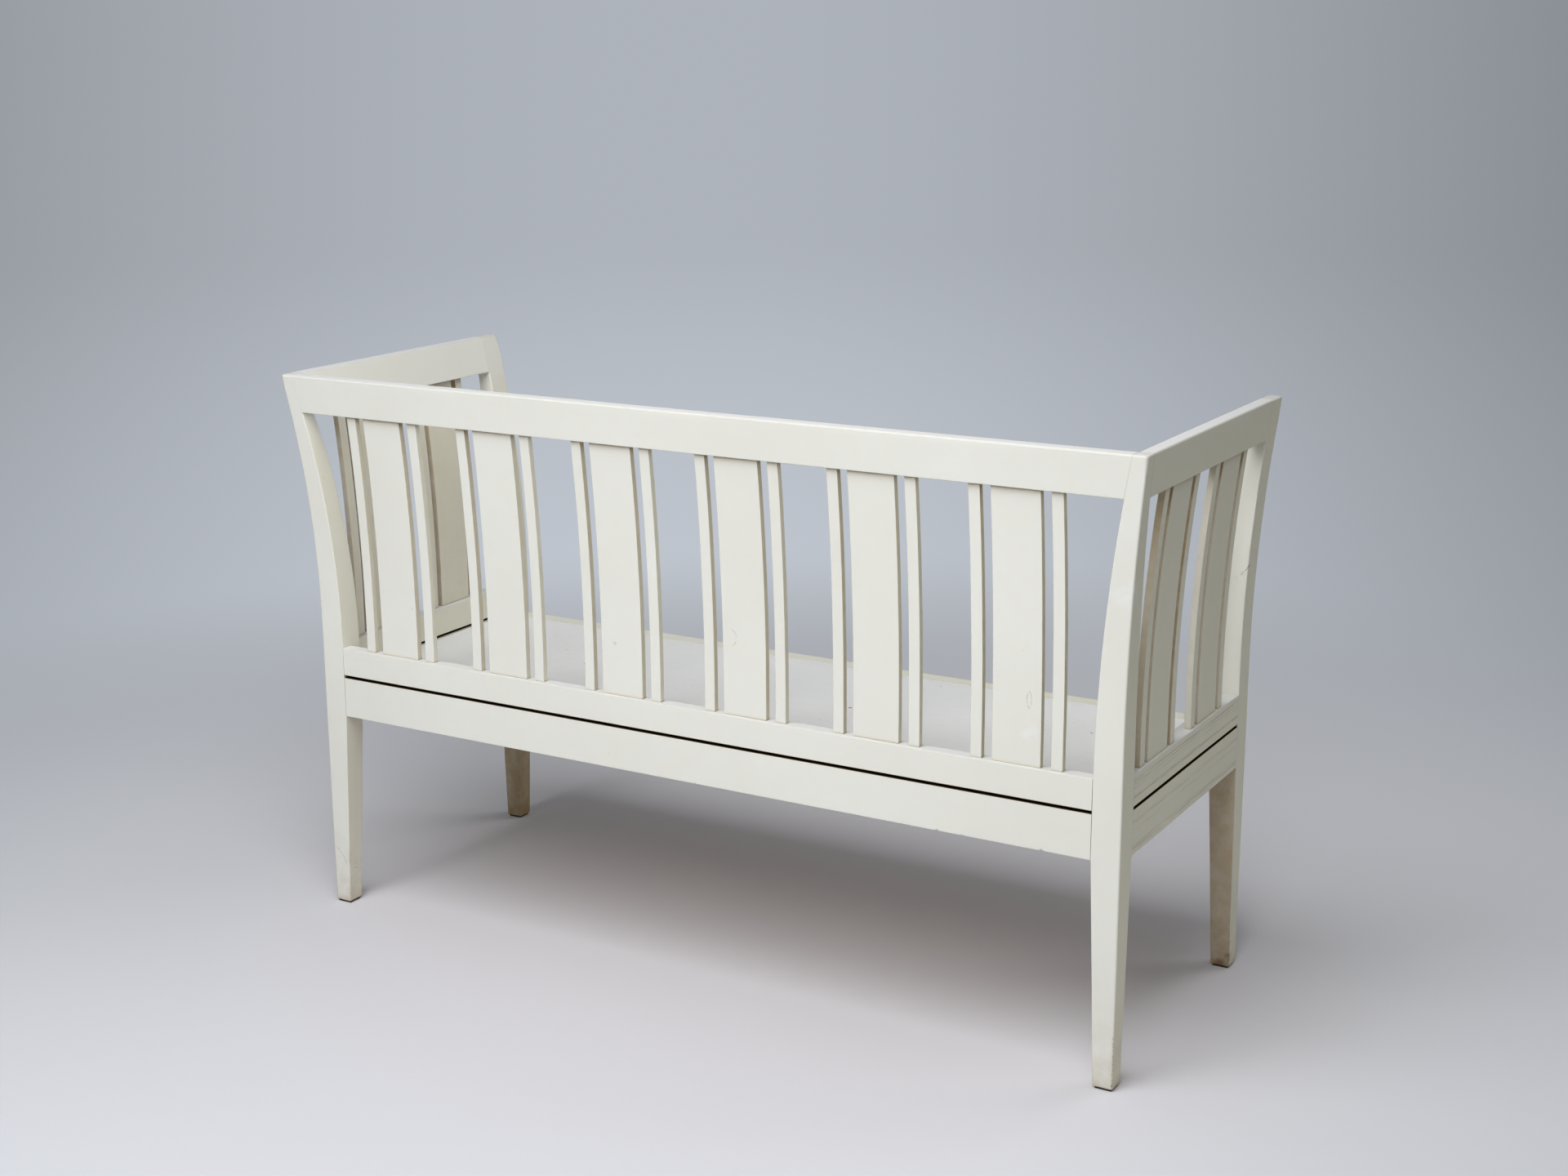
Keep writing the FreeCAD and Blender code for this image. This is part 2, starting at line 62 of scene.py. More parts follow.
# Levels and faces of the bench, read from the frame
apronBottom, apronTop = (corner.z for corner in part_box("back_apron"))
railBottom, railTop = (corner.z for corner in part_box("back_lower_rail"))
crestBottom, benchTop = (corner.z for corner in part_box("back_crest_rail"))
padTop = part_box("foot_pads")[1].z
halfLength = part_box("right_apron")[1].x
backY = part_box("back_apron")[1].y
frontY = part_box("front_left_post")[0].y
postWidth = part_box("front_left_post")[1].y - frontY
postInnerX = halfLength - postWidth

# Curve of the posts, the crest and the slats above the seat
sabre = {"flare": 0.0305, "delay": 0.0405, "topWidth": 0.021, "footWidth": 0.0295}


def leanOut(rise, height, reach):
    # A circle that starts upright and has moved out by reach at the given height
    radius = (height ** 2 + reach ** 2) / (2 * reach)
    return radius - np.sqrt(radius ** 2 - np.clip(rise, 0, None) ** 2)


def outerLean(z):
    # The outer faces start their circle a little above the lower rail
    start = railTop + sabre["delay"]
    return leanOut(z - start, benchTop - start, sabre["flare"])


def innerLean(z):
    # The inner faces start theirs at the lower rail and lean out further, by what the post loses in width
    reach = postWidth - sabre["topWidth"] + sabre["flare"]
    return leanOut(z - railTop, benchTop - railTop, reach)


# Mesh of a softened wooden member, and how close to an end its extra stations stand
bar = {
    "arcSteps": 4, "guard": 0.0007, "guardShare": 0.2, "digits": 6, "closest": 0.0001, "fullest": 0.499,
    "shrinkShare": 0.6, "sharpest": 0.0001, "endFade": 0.001, "tiny": 1e-6, "smoothAngle": 38,
}
quarterTurn = np.linspace(0, math.pi / 2, bar["arcSteps"] + 1)
nearEnd = np.array([0.0006, 0.0013, 0.0022, 0.0035, 0.006, 0.01, 0.016])
plainEnds = ((0,) * 4, (0,) * 4)


def stationsAlong(start, finish, roundStart, roundFinish, step, marks=()):
    # Even stations, closer ones on the rounded ends, next to them and round each mark
    arc = 1 - np.cos(quarterTurn)
    count = max(int(round((finish - start) / step)), 2)
    parts = [np.linspace(start, finish, count + 1), start + roundStart * arc, start + roundStart + nearEnd,
             finish - roundFinish * arc, finish - roundFinish - nearEnd]
    parts += [mark + spread for mark, spread in marks]
    values = np.unique(np.round(np.concatenate(parts), bar["digits"]))
    values = values[(values >= start) & (values <= finish)]
    keep = np.concatenate([[True], np.diff(values) > bar["closest"]])
    return values[keep]


def endInset(distance, radius):
    # How far a quarter circle of that radius has drawn a side in, at a distance from the end
    radius = max(radius, bar["tiny"])
    left = np.clip(radius - distance, 0, radius)
    return radius - np.sqrt(radius ** 2 - left ** 2)


def sectionRings(lowA, highA, lowB, highB, radii, sideSteps):
    # One rectangle with quarter-circle corners per station, as many points on each
    lowA, highA, lowB, highB = np.broadcast_arrays(lowA, highA, lowB, highB)
    limit = bar["fullest"] * np.minimum(highA - lowA, highB - lowB)
    centres = [(lowA, lowB, 1, 1), (highA, lowB, -1, 1), (highA, highB, -1, -1), (lowA, highB, 1, -1)]
    arcs = []
    for k, (a, b, signA, signB) in enumerate(centres):
        radius = np.minimum(radii[:, k], limit)[:, None]
        angle = math.pi + (k + np.linspace(0, 1, bar["arcSteps"] + 1)) * math.pi / 2
        ringA = a[:, None] + signA * radius + radius * np.cos(angle)
        ringB = b[:, None] + signB * radius + radius * np.sin(angle)
        arcs.append(np.stack([ringA, ringB], -1))
    weight = np.sin(2 * quarterTurn)
    rings, arris = [], []
    for k in range(4):
        first, second = arcs[k][:, -1:], arcs[(k + 1) % 4][:, :1]
        gap = np.linalg.norm(second - first, axis=2)
        share = np.minimum(bar["guard"] / np.maximum(gap, bar["tiny"]), bar["guardShare"])
        steps = share + (1 - 2 * share) * np.linspace(0, 1, sideSteps[k] + 1)
        rings += [arcs[k], first + (second - first) * steps[..., None]]
        arris += [weight, np.zeros(sideSteps[k] + 1)]
    return np.concatenate(rings, 1), np.concatenate(arris)


def ringFaces(levels, around):
    # Quads between neighbouring rings, and one flat face over each end
    index = np.arange(levels * around).reshape(levels, around)
    nxt = np.roll(index, -1, 1)
    quads = np.stack([index[:-1], nxt[:-1], nxt[1:], index[1:]], -1).reshape(-1, 4)
    return quads.tolist() + [index[0][::-1].tolist(), index[-1].tolist()]


def signedVolume(points, faces):
    # Six times the volume inside the faces, cut into fans of triangles: negative where they face inwards
    quads = points[np.array([face for face in faces if len(face) == 4])]
    total = sum(np.sum(quads[:, 0] * np.cross(quads[:, i], quads[:, i + 1])) for i in (1, 2))
    for ring in [points[face] for face in faces if len(face) > 4]:
        total += np.sum(np.cross(ring[1:-1], ring[2:]) @ ring[0])
    return total


def newObject(name, data):
    # An object at the origin of the scene
    made = bpy.data.objects.new(name, data)
    bpy.context.scene.collection.objects.link(made)
    return made


def newPiece(name, points, faces, material):
    # One mesh, with its points where they stand in the frame
    mesh = bpy.data.meshes.new(name)
    mesh.from_pydata(points.tolist(), [], faces)
    mesh.materials.append(material)
    return newObject(name, mesh)


def wooden(name, shells, material, body, nodes):
    # Joins closed shells of points and faces into one piece, with its arris weight and its grime and painted
    # shade
    points, faces, arris, grimeAndShade, start = [], [], [], [], 0
    for shell in shells:
        sign = 1 if signedVolume(shell["points"], shell["faces"]) > 0 else -1
        faces += [[i + start for i in face[::sign]] for face in shell["faces"]]
        points.append(shell["points"])
        arris.append(shell["arris"])
        grimeAndShade.append(shell["grimeAndShade"])
        start += len(shell["points"])
    piece = newPiece(name, np.clip(np.concatenate(points), cadLow, cadHigh), faces, material)
    mesh = piece.data
    for label, values in (("arris", arris), ("grimeAndShade", grimeAndShade)):
        layer = mesh.attributes.new(label, "FLOAT", "POINT")
        layer.data.foreach_set("value", np.concatenate(values).astype(np.float32))
    mesh.shade_smooth()
    mesh.set_sharp_from_angle(angle=math.radians(bar["smoothAngle"]))
    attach(piece, body)
    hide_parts(*nodes)


def painted(node, shell, paint):
    # A piece of the standing frame in place of its node
    wooden(node + "_painted", [shell], paint, "carcass", [node])


def carriedBar(stations, sides, radii, ends, place, sideSteps=(3, 3, 3, 3), grimeAndShade=None):
    # A rounded rectangle carried along its stations. Each side is a number or one value per station, ends
    # gives the rounding of the four sides at the start and at the finish, and place puts the points in space
    count = len(stations)
    lowA, highA, lowB, highB = (np.broadcast_to(np.asarray(side, float), count) for side in sides)
    fromStart, fromFinish = stations - stations[0], stations[-1] - stations
    inset = [endInset(fromStart, ends[0][k]) + endInset(fromFinish, ends[1][k]) for k in range(4)]
    drawn = np.broadcast_to(np.asarray(radii, float), (count, 4)).copy()
    shrink = np.max(inset, 0)[:, None]
    drawn = np.maximum(drawn - bar["shrinkShare"] * shrink, bar["sharpest"])
    rings, arris = sectionRings(lowA + inset[0], highA - inset[1], lowB + inset[2], highB - inset[3],
                                drawn, sideSteps)
    around = rings.shape[1]
    a, b, t = rings[..., 0].ravel(), rings[..., 1].ravel(), np.repeat(stations, around)
    ended = np.repeat(np.clip(shrink[:, 0] / bar["endFade"], 0, 1), around)
    return {"points": place(a, b, t), "faces": ringFaces(count, around),
            "arris": np.maximum(np.tile(arris, count), ended),
            "grimeAndShade": np.zeros(len(t)) if grimeAndShade is None else grimeAndShade(a, b, t)}


waveLengths = (0.31, 0.17, 0.09)


def waver(points, seed, amount):
    # A hand-planed face: a few long, shallow sine waves with seeded phases, in each direction
    draw = np.random.default_rng(seed)
    moved = points.copy()
    for axis in range(3):
        for length in waveLengths:
            direction = draw.normal(size=3)
            direction /= np.linalg.norm(direction)
            phase = draw.uniform(0, 2 * math.pi)
            wave = np.sin(points @ direction * 2 * math.pi / length + phase)
            moved[:, axis] += amount * length / waveLengths[0] * wave / 2
    return moved


# Materials
def plugIn(tree, socket, value):
    # Links an output to the socket or sets its constant, with an alpha of 1 behind a colour
    if isinstance(value, bpy.types.NodeSocket):
        tree.links.new(value, socket)
    elif socket.type == "RGBA":
        socket.default_value = (*value, 1.0)
    else:
        socket.default_value = value


def nodeIn(tree, kind, inputs=None, **settings):
    # The outputs of a new node, with its settings, its constants and its links
    made = tree.nodes.new("ShaderNode" + kind)
    for name, value in settings.items():
        setattr(made, name, value)
    for name, value in (inputs or {}).items():
        plugIn(tree, made.inputs[name], value)
    return made.outputs


def nodeFrom(kind, inputs, **settings):
    # The same, among the nodes from which its inputs come
    sources = [value for value in inputs.values() if isinstance(value, bpy.types.NodeSocket)]
    return nodeIn(sources[0].id_data, kind, inputs, **settings)


def noiseAt(vector, scale, detail=3.0, roughness=0.55):
    # Noise about 0.5 whose coarsest waves are one over the scale long
    inputs = {"Vector": vector, "Scale": scale, "Detail": detail, "Roughness": roughness}
    return nodeFrom("TexNoise", inputs)["Fac"]


def ranged(value, low, high, toLow=0.0, toHigh=1.0, curve="LINEAR"):
    # Maps low..high to toLow..toHigh, held at its ends
    inputs = {"Value": value, "From Min": low, "From Max": high, "To Min": toLow, "To Max": toHigh}
    return nodeFrom("MapRange", inputs, interpolation_type=curve)["Result"]


def combined(operation, first, second=0.0):
    # One step of arithmetic on two values, each a constant or an output
    return nodeFrom("Math", {0: first, 1: second}, operation=operation)[0]


def product(first, second):
    # The two values multiplied
    return combined("MULTIPLY", first, second)


def offFrom(value, level):
    # How far the value is from the level, up or down
    return combined("ABSOLUTE", combined("SUBTRACT", value, level))


def distanceTo(place, centre):
    # The straight line between the two, in metres
    return nodeFrom("VectorMath", {0: place, 1: centre}, operation="DISTANCE")["Value"]


def partsOf(vector):
    # The vector's X, Y and Z, each an output
    return nodeFrom("SeparateXYZ", {"Vector": vector})


def stretched(place, scale, shift=(0.0, 0.0, 0.0)):
    # The place with each axis scaled: noise on it is drawn out along an axis with a small scale
    return nodeFrom("Mapping", {"Vector": place, "Scale": scale, "Location": shift})["Vector"]


def attributeOf(material, name):
    # A value that wooden has stored on the points of a piece
    return nodeIn(material.node_tree, "Attribute", attribute_name=name)["Fac"]


def blended(share, first, second, blend="MIX"):
    # The first colour, moved by the share towards the second or towards their product
    return nodeFrom("Mix", {0: share, 6: first, 7: second}, data_type="RGBA", blend_type=blend)[2]


def newMaterial(name):
    # An empty material, and in it the place on the object in metres
    material = bpy.data.materials.new(name)
    material.use_nodes = True
    material.node_tree.nodes.clear()
    return material, nodeIn(material.node_tree, "TexCoord")["Object"]


# How marks are drawn: cores as shares of the mark, and the noise that breaks each kind up
marking = {
    "arcCore": 0.3, "arcKept": 0.8, "arcNoise": (190.0, 2.0), "arcBroken": (0.36, 0.56),
    "arcStrength": 0.75, "lineCore": 0.25, "lineNoise": (16.0, 3.0), "lineBroken": (0.34, 0.6, 0.12, 1.0),
    "lineApart": 3.7, "drift": 0.0008, "driftNoise": (7.0, 2.0), "driftEnds": (0.3, 0.7),
    "grooveDepth": 0.0003, "spotCore": 0.3, "spotNoise": 0.9, "spotBroken": (0.42, 0.58),
}


def nearTo(place, centre, radius, core):
    # 1 inside a core about the centre, a share of the radius wide, falling to 0 at the radius
    return ranged(distanceTo(place, centre), radius, radius * core)


def arcMark(place, centre, radius, width, keepCentre, keepRadius):
    # A thin ring round the centre, kept inside a second ball and broken up by noise
    off = offFrom(distanceTo(place, centre), radius)
    line = ranged(off, width, width * marking["arcCore"])
    kept = product(line, nearTo(place, keepCentre, keepRadius, marking["arcKept"]))
    noise = noiseAt(place, *marking["arcNoise"])
    return product(kept, ranged(noise, *marking["arcBroken"]))


def levelLine(place, height, width, seed):
    # A wandering, broken line at one height, like a check in quartered wood under the paint
    flat = stretched(place, (1.0, 1.0, 0.0), (seed, seed, seed))
    drift = ranged(noiseAt(flat, *marking["driftNoise"]), *marking["driftEnds"],
                   height - marking["drift"], height + marking["drift"])
    off = offFrom(partsOf(place)["Z"], drift)
    shown = ranged(noiseAt(flat, *marking["lineNoise"]), *marking["lineBroken"])
    return product(ranged(off, width, width * marking["lineCore"]), shown)


def closeMaterial(colour, roughness, bumps, specular=0.5, metallic=0.0):
    # One Principled shader with its bumps one on another, each a height and its depth in metres
    normal = None
    for height, depth in bumps:
        inputs = {"Height": height, "Strength": 1.0, "Distance": depth}
        if normal is not None:
            inputs["Normal"] = normal
        normal = nodeFrom("Bump", inputs)["Normal"]
    shader = nodeFrom("BsdfPrincipled", {
        "Base Color": colour, "Roughness": roughness, "Specular IOR Level": specular, "Normal": normal,
        "Metallic": metallic})
    nodeFrom("OutputMaterial", {"Surface": shader[0]})


# Colours of the paint, of its layers and of its marks, among them painted shade and painted light
ivory = {
    "light": (0.8, 0.798, 0.735), "deep": (0.765, 0.76, 0.69), "warm": (0.78, 0.755, 0.655),
    "grimeAndShade": (0.34, 0.228, 0.088), "bareEdge": (0.5, 0.4, 0.27), "speck": (0.3, 0.255, 0.19),
    "paintedSlotShade": (0.012, 0.009, 0.007), "scratch": (0.3, 0.265, 0.215), "check": (0.3, 0.262, 0.262),
    "ochre": (0.4, 0.3, 0.165), "chalk": (0.88, 0.885, 0.9), "chip": (0.185, 0.105, 0.065),
    "dustAndShade": (0.645, 0.645, 0.63), "wornAndShadedTopArris": (0.56, 0.555, 0.53), "yellowingAndWarmShade": (0.95, 0.92, 0.8),
    "bleachedAndLit": (1.05, 1.05, 1.05), "unagedAndUnshaded": (1.0, 1.0, 1.0),
}

# Scratches, checks and stains that stand in one place: centres and radii in metres
uprightMarks = {
    "arcs": (
        ((0.7143, 0.24, 0.0604), 0.0425, 0.0006, (0.6799, 0.24, 0.0855), 0.02),
        ((0.6665, 0.2262, 0.065), 0.0052, 0.0005, (0.6665, 0.2262, 0.065), 0.01),
        ((-0.6591, -0.2275, 0.673), 0.0505, 0.0008, (-0.6999, -0.2275, 0.6442), 0.014),
        ((-0.685, -0.2275, 0.656), 0.019, 0.0006, (-0.699, -0.2275, 0.644), 0.009),
        ((-0.083, 0.2373, 0.568), 0.0142, 0.0006, (-0.0925, 0.2373, 0.569), 0.015),
        ((-0.5371, 0.2365, 0.5445), 0.0259, 0.0006, (-0.5595, 0.2365, 0.5445), 0.0135),
        ((-0.5819, 0.2365, 0.5445), 0.0259, 0.0006, (-0.5595, 0.2365, 0.5445), 0.0135),
    ),
    "stains": (
        ((0.6668, 0.2218, 0.06), 0.0014, "chip", 0.85), ((-0.6925, -0.2275, 0.634), 0.016, "ochre", 0.16),
        ((-0.56, 0.2365, 0.498), 0.016, "chalk", 0.5), ((0.1178, 0.2363, 0.5311), 0.0045, "scratch", 0.3),
        ((0.508, 0.2364, 0.5344), 0.003, "ochre", 0.45),
        ((0.6761, 0.2394, 0.7311), 0.0035, "scratch", 0.35),
        ((-0.6977, 0.24, 0.0094), 0.0022, "chip", 0.75), ((-0.695, 0.248, 0.712), 0.024, "chalk", 0.35),
        ((-0.684, -0.2405, 0.006), 0.013, "chip", 0.8), ((-0.698, -0.2405, 0.02), 0.012, "chip", 0.6),
        ((-0.6985, -0.242, 0.044), 0.005, "speck", 0.7),
    ),
}
railMarks = {
    "arcs": (),
    "stains": (
        ((-0.4254, 0.24, 0.333), 0.0035, "chip", 0.55), ((-0.4647, 0.24, 0.333), 0.0022, "chip", 0.6),
        ((-0.5842, 0.24, 0.333), 0.004, "chip", 0.6), ((0.132, 0.24, 0.3551), 0.0011, "chip", 0.8),
        ((-0.025, 0.24, 0.334), 0.0018, "scratch", 0.6),
    ),
}
endChecks = (
    (0.4407, 0.001, "check", 0.85), (0.4358, 0.0007, "check", 0.6), (0.418, 0.0009, "ochre", 0.9),
    (0.4156, 0.0011, "ochre", 0.95), (0.43, 0.0006, "check", 0.4), (0.4245, 0.0006, "chalk", 0.5),
    (0.3825, 0.0007, "check", 0.6), (0.3796, 0.0008, "ochre", 0.6), (0.369, 0.0006, "check", 0.4),
    (0.389, 0.0009, "chalk", 0.5), (0.36, 0.0007, "chalk", 0.4), (0.3456, 0.0009, "ochre", 0.7),
    (0.3414, 0.001, "check", 0.7),
)

# Noises of the paint as scale, detail and roughness, the ranges in which each layer comes up and how far it
# comes up, and the depths of its relief in metres
layers = {
    "brush": (60.0, 4.0, 0.6), "broad": (14.0, 3.0, 0.5), "cloud": (3.0, 3.0), "mottle": (38.0, 4.0, 0.65),
    "fine": (420.0, 3.0, 0.6), "deepened": (0.35, 0.65), "warmed": (0.5, 0.8, 0.0, 0.4),
    "brushed": (0.3, 0.75, 0.0, 0.18), "warmArris": (0.2, 1.0, 0.0, 0.35), "towardsEnd": (-0.5, 0.5),
    "towardsCrest": (0.79, 0.84, 0.4), "facingBack": (0.2, 0.8), "topDustAndShadeRange": (0.15, 0.8, 0.0),
    "frontTopDustAndShade": 0.3, "wornAndShadedTopArris": (0.1, 0.6, 0.0, 0.8), "fleckFine": (0.67, 0.74), "fleckPatch": (0.58, 0.7),
    "fleckStrength": 0.45, "footRub": (0.1, 0.0), "rubbed": (0.72, 0.8), "rubbedFine": (0.42, 0.62),
    "footStain": (0.14, 0.0, 0.0, 0.28), "footPatch": (0.35, 0.65), "grimeAndShadePatch": (0.25, 0.6, 0.72, 1.0),
    "grimeAndShadeShown": (0.0, 1.0, 0.0, 0.92), "slotShadeShown": (1.0, 2.0), "slotShadeDulled": (1.0, 1.5, 0.3, 0.0),
    "roughness": (0.25, 0.75, 0.4, 0.54), "brushDepth": 0.0001, "broadDepth": 0.00016, "fineDepth": 0.00003,
}
noMarks = {"arcs": (), "stains": ()}


def paintMaterial(name, stretch, marks=noMarks, checks=(), topDustAndShade=1.0):
    # Old oil paint: brush strokes along the grain, yellowing and painted warm shade on all but the back
    # faces, painted light paling it towards the +X end, dust and painted shade on tops, grime in the joints
    # and painted shade in gaps and slot
    material, place = newMaterial(name)

    def ramp(value, layer):
        return ranged(value, *layers[layer])

    def under(colour, share, tone):
        return blended(share, colour, ivory[tone])

    strokes = stretched(place, stretch)
    arris, grimeAndShade = attributeOf(material, "arris"), attributeOf(material, "grimeAndShade")
    placed = partsOf(place)
    facing = partsOf(nodeIn(material.node_tree, "NewGeometry")["Normal"])
    brush, broad = (noiseAt(strokes, *layers[kind]) for kind in ("brush", "broad"))
    cloud, mottle, fine = (noiseAt(place, *layers[kind]) for kind in ("cloud", "mottle", "fine"))
    colour = blended(ramp(cloud, "deepened"), ivory["light"], ivory["deep"])
    colour = under(colour, ramp(mottle, "warmed"), "warm")
    colour = under(colour, ramp(broad, "brushed"), "deep")
    colour = under(colour, ramp(arris, "warmArris"), "warm")
    # Painted light and shade: paler, brighter paint towards the +X end and the crest, and yellowing with
    # painted warm shade on every face but those to the back
    paler = product(ramp(placed["X"], "towardsEnd"), ramp(placed["Z"], "towardsCrest"))
    agedAndLitTone = blended(paler, ivory["yellowingAndWarmShade"], ivory["bleachedAndLit"])
    agedAndLitTone = under(agedAndLitTone, ramp(facing["Y"], "facingBack"), "unagedAndUnshaded")
    colour = blended(1.0, colour, agedAndLitTone, "MULTIPLY")
    # Dust and painted shade: upward faces turn grey, less so on the front apron
    colour = under(colour, ranged(facing["Z"], *layers["topDustAndShadeRange"], topDustAndShade), "dustAndShade")
    # Wear and painted shade: the rounded arrises of upward faces turn darker grey, damping the bright band
    # on them
    colour = under(colour, product(arris, ramp(facing["Z"], "wornAndShadedTopArris")), "wornAndShadedTopArris")
    fleck = product(ramp(fine, "fleckFine"), ramp(mottle, "fleckPatch"))
    colour = under(colour, product(fleck, layers["fleckStrength"]), "speck")
    foot = ramp(placed["Z"], "footRub")
    rubbed = product(arris, ramp(combined("ADD", mottle, foot), "rubbed"))
    colour = under(colour, product(rubbed, ramp(fine, "rubbedFine")), "bareEdge")
    colour = under(colour, product(ramp(placed["Z"], "footStain"), ramp(mottle, "footPatch")), "ochre")
    # Grime and painted shade: dirt at the feet and joints, darker flanks in the gaps, the crest's shadow on
    # the slats' heads and a tan on inner faces
    patchy = product(grimeAndShade, ramp(mottle, "grimeAndShadePatch"))
    colour = under(colour, ramp(patchy, "grimeAndShadeShown"), "grimeAndShade")
    for centre, radius, tone, strength in marks["stains"]:
        noise = noiseAt(place, marking["spotNoise"] / radius)
        spot = product(nearTo(place, centre, radius, marking["spotCore"]),
                       ranged(noise, *marking["spotBroken"], 0.0, strength))
        colour = under(colour, spot, tone)
    for arc in marks["arcs"]:
        colour = under(colour, product(arcMark(place, *arc), marking["arcStrength"]), "scratch")
    bumps = [(brush, layers["brushDepth"]), (broad, layers["broadDepth"]), (fine, layers["fineDepth"])]
    if checks:
        grooves = 0.0
        for number, (level, width, tone, strength) in enumerate(checks):
            line = levelLine(place, level, width, marking["lineApart"] * number)
            colour = under(colour, product(line, strength), tone)
            grooves = combined("ADD", grooves, line)
        bumps.append((combined("SUBTRACT", 1.0, grooves), marking["grooveDepth"]))
    # Painted shade: where the mark passes 1, on the faces in the slot, the paint turns near black and loses
    # its sheen
    colour = under(colour, ramp(grimeAndShade, "slotShadeShown"), "paintedSlotShade")
    closeMaterial(colour, ramp(broad, "roughness"), bumps, ramp(grimeAndShade, "slotShadeDulled"))
    return material


# How far the noise of the paint is drawn out along each grain
paintGrain = {"x": (0.06, 1.0, 1.0), "y": (1.0, 0.06, 1.0), "z": (1.0, 1.0, 0.06)}
paintAlong = {
    "x": paintMaterial("ivory_paint_along_x", paintGrain["x"], railMarks),
    "y": paintMaterial("ivory_paint_along_y", paintGrain["y"]),
    "z": paintMaterial("ivory_paint_upright", paintGrain["z"], uprightMarks),
    "checked": paintMaterial("ivory_paint_checked", paintGrain["y"], checks=endChecks),
    "front": paintMaterial("ivory_paint_front_apron", paintGrain["x"], topDustAndShade=layers["frontTopDustAndShade"]),
}

board = {
    "light": (0.83, 0.834, 0.836), "deep": (0.78, 0.785, 0.788), "worn": (0.775, 0.76, 0.72),
    "nick": (0.25, 0.215, 0.165),
    "nicks": (((0.3577, -0.0238, 0.3995), 0.0035), ((-0.1449, -0.0236, 0.3995), 0.004),
              ((-0.206, -0.225, 0.3995), 0.003), ((-0.52, -0.09, 0.3995), 0.003)),
    "stretch": (0.05, 1.0, 1.0), "grain": (90.0, 5.0, 0.65), "cloud": (4.5, 4.0, 0.6),
    "mottle": (45.0, 4.0, 0.65), "dotNoise": (160.0, 2.0), "nickNoise": (300.0, 2.0),
    "deepened": (0.3, 0.7), "grainShown": (0.35, 0.75, 0.0, 0.3), "wornShown": (0.55, 0.75, 0.0, 0.5),
    "dots": (0.7, 0.74), "dotPatch": (0.52, 0.6), "wornArris": (0.5, 0.6), "nickCore": 0.5,
    "nickBroken": (0.42, 0.5), "roughness": (0.3, 0.7, 0.55, 0.68), "grainDepth": 0.0002, "specular": 0.35,
}


def boardMaterial():
    # Thin, matt cool white with the grain of a board showing along its length
    material, place = newMaterial("board_paint")

    def ramp(value, layer):
        return ranged(value, *board[layer])

    arris = attributeOf(material, "arris")
    grain = noiseAt(stretched(place, board["stretch"]), *board["grain"])
    cloud, mottle = (noiseAt(place, *board[kind]) for kind in ("cloud", "mottle"))
    colour = blended(ramp(cloud, "deepened"), board["light"], board["deep"])
    colour = blended(ramp(grain, "grainShown"), colour, board["deep"])
    colour = blended(ramp(mottle, "wornShown"), colour, board["worn"])
    dots = product(ramp(noiseAt(place, *board["dotNoise"]), "dots"), ramp(cloud, "dotPatch"))
    colour = blended(dots, colour, board["nick"])
    colour = blended(product(arris, ramp(mottle, "wornArris")), colour, board["worn"])
    broken = ramp(noiseAt(place, *board["nickNoise"]), "nickBroken")
    for centre, radius in board["nicks"]:
        spot = product(nearTo(place, centre, radius, board["nickCore"]), broken)
        colour = blended(spot, colour, board["nick"])
    closeMaterial(colour, ramp(grain, "roughness"), [(grain, board["grainDepth"])], board["specular"])
    return material


bareWood = {
    "early": (0.64, 0.45, 0.265), "late": (0.43, 0.265, 0.13), "knot": (0.21, 0.115, 0.055),
    "grey": (0.52, 0.42, 0.31), "alongX": (0.05, 1.0, 1.0), "alongY": (1.0, 0.07, 1.0),
    "figure": (26.0, 2.0, 0.5), "rings": 70.0, "fibre": (364.0, 4.0, 0.6), "cloud": (5.0, 3.0),
    "knots": 11.7, "lateBand": (-0.2, 1.0), "lateShown": 0.75, "fibreShown": (0.45, 0.8, 0.0, 0.5),
    "greyShown": (0.4, 0.7, 0.0, 0.45), "knotShown": (0.1, 0.04, 0.0, 0.9),
    "roughness": (0.3, 0.7, 0.55, 0.75), "lateDepth": 0.00012, "fibreDepth": 0.0001, "specular": 0.3,
}


def bareWoodMaterial(name, stretch):
    # Aged pine: bands of late wood as a sine of a noise drawn out along the grain, with fibres and knots
    material, place = newMaterial(name)

    def ramp(value, layer):
        return ranged(value, *bareWood[layer])

    drawn = stretched(place, stretch)
    rings = product(noiseAt(drawn, *bareWood["figure"]), bareWood["rings"])
    late = ramp(combined("SINE", rings), "lateBand")
    fibre, cloud = noiseAt(drawn, *bareWood["fibre"]), noiseAt(place, *bareWood["cloud"])
    knots = nodeFrom("TexVoronoi", {"Vector": drawn, "Scale": bareWood["knots"]})["Distance"]
    colour = blended(product(late, bareWood["lateShown"]), bareWood["early"], bareWood["late"])
    colour = blended(ramp(fibre, "fibreShown"), colour, bareWood["late"])
    colour = blended(ramp(cloud, "greyShown"), colour, bareWood["grey"])
    colour = blended(ramp(knots, "knotShown"), colour, bareWood["knot"])
    closeMaterial(colour, ramp(fibre, "roughness"),
                  [(late, bareWood["lateDepth"]), (fibre, bareWood["fibreDepth"])], bareWood["specular"])
    return material


woodAlong = {
    "x": bareWoodMaterial("bare_pine_along_x", bareWood["alongX"]),
    "y": bareWoodMaterial("bare_pine_along_y", bareWood["alongY"]),
}

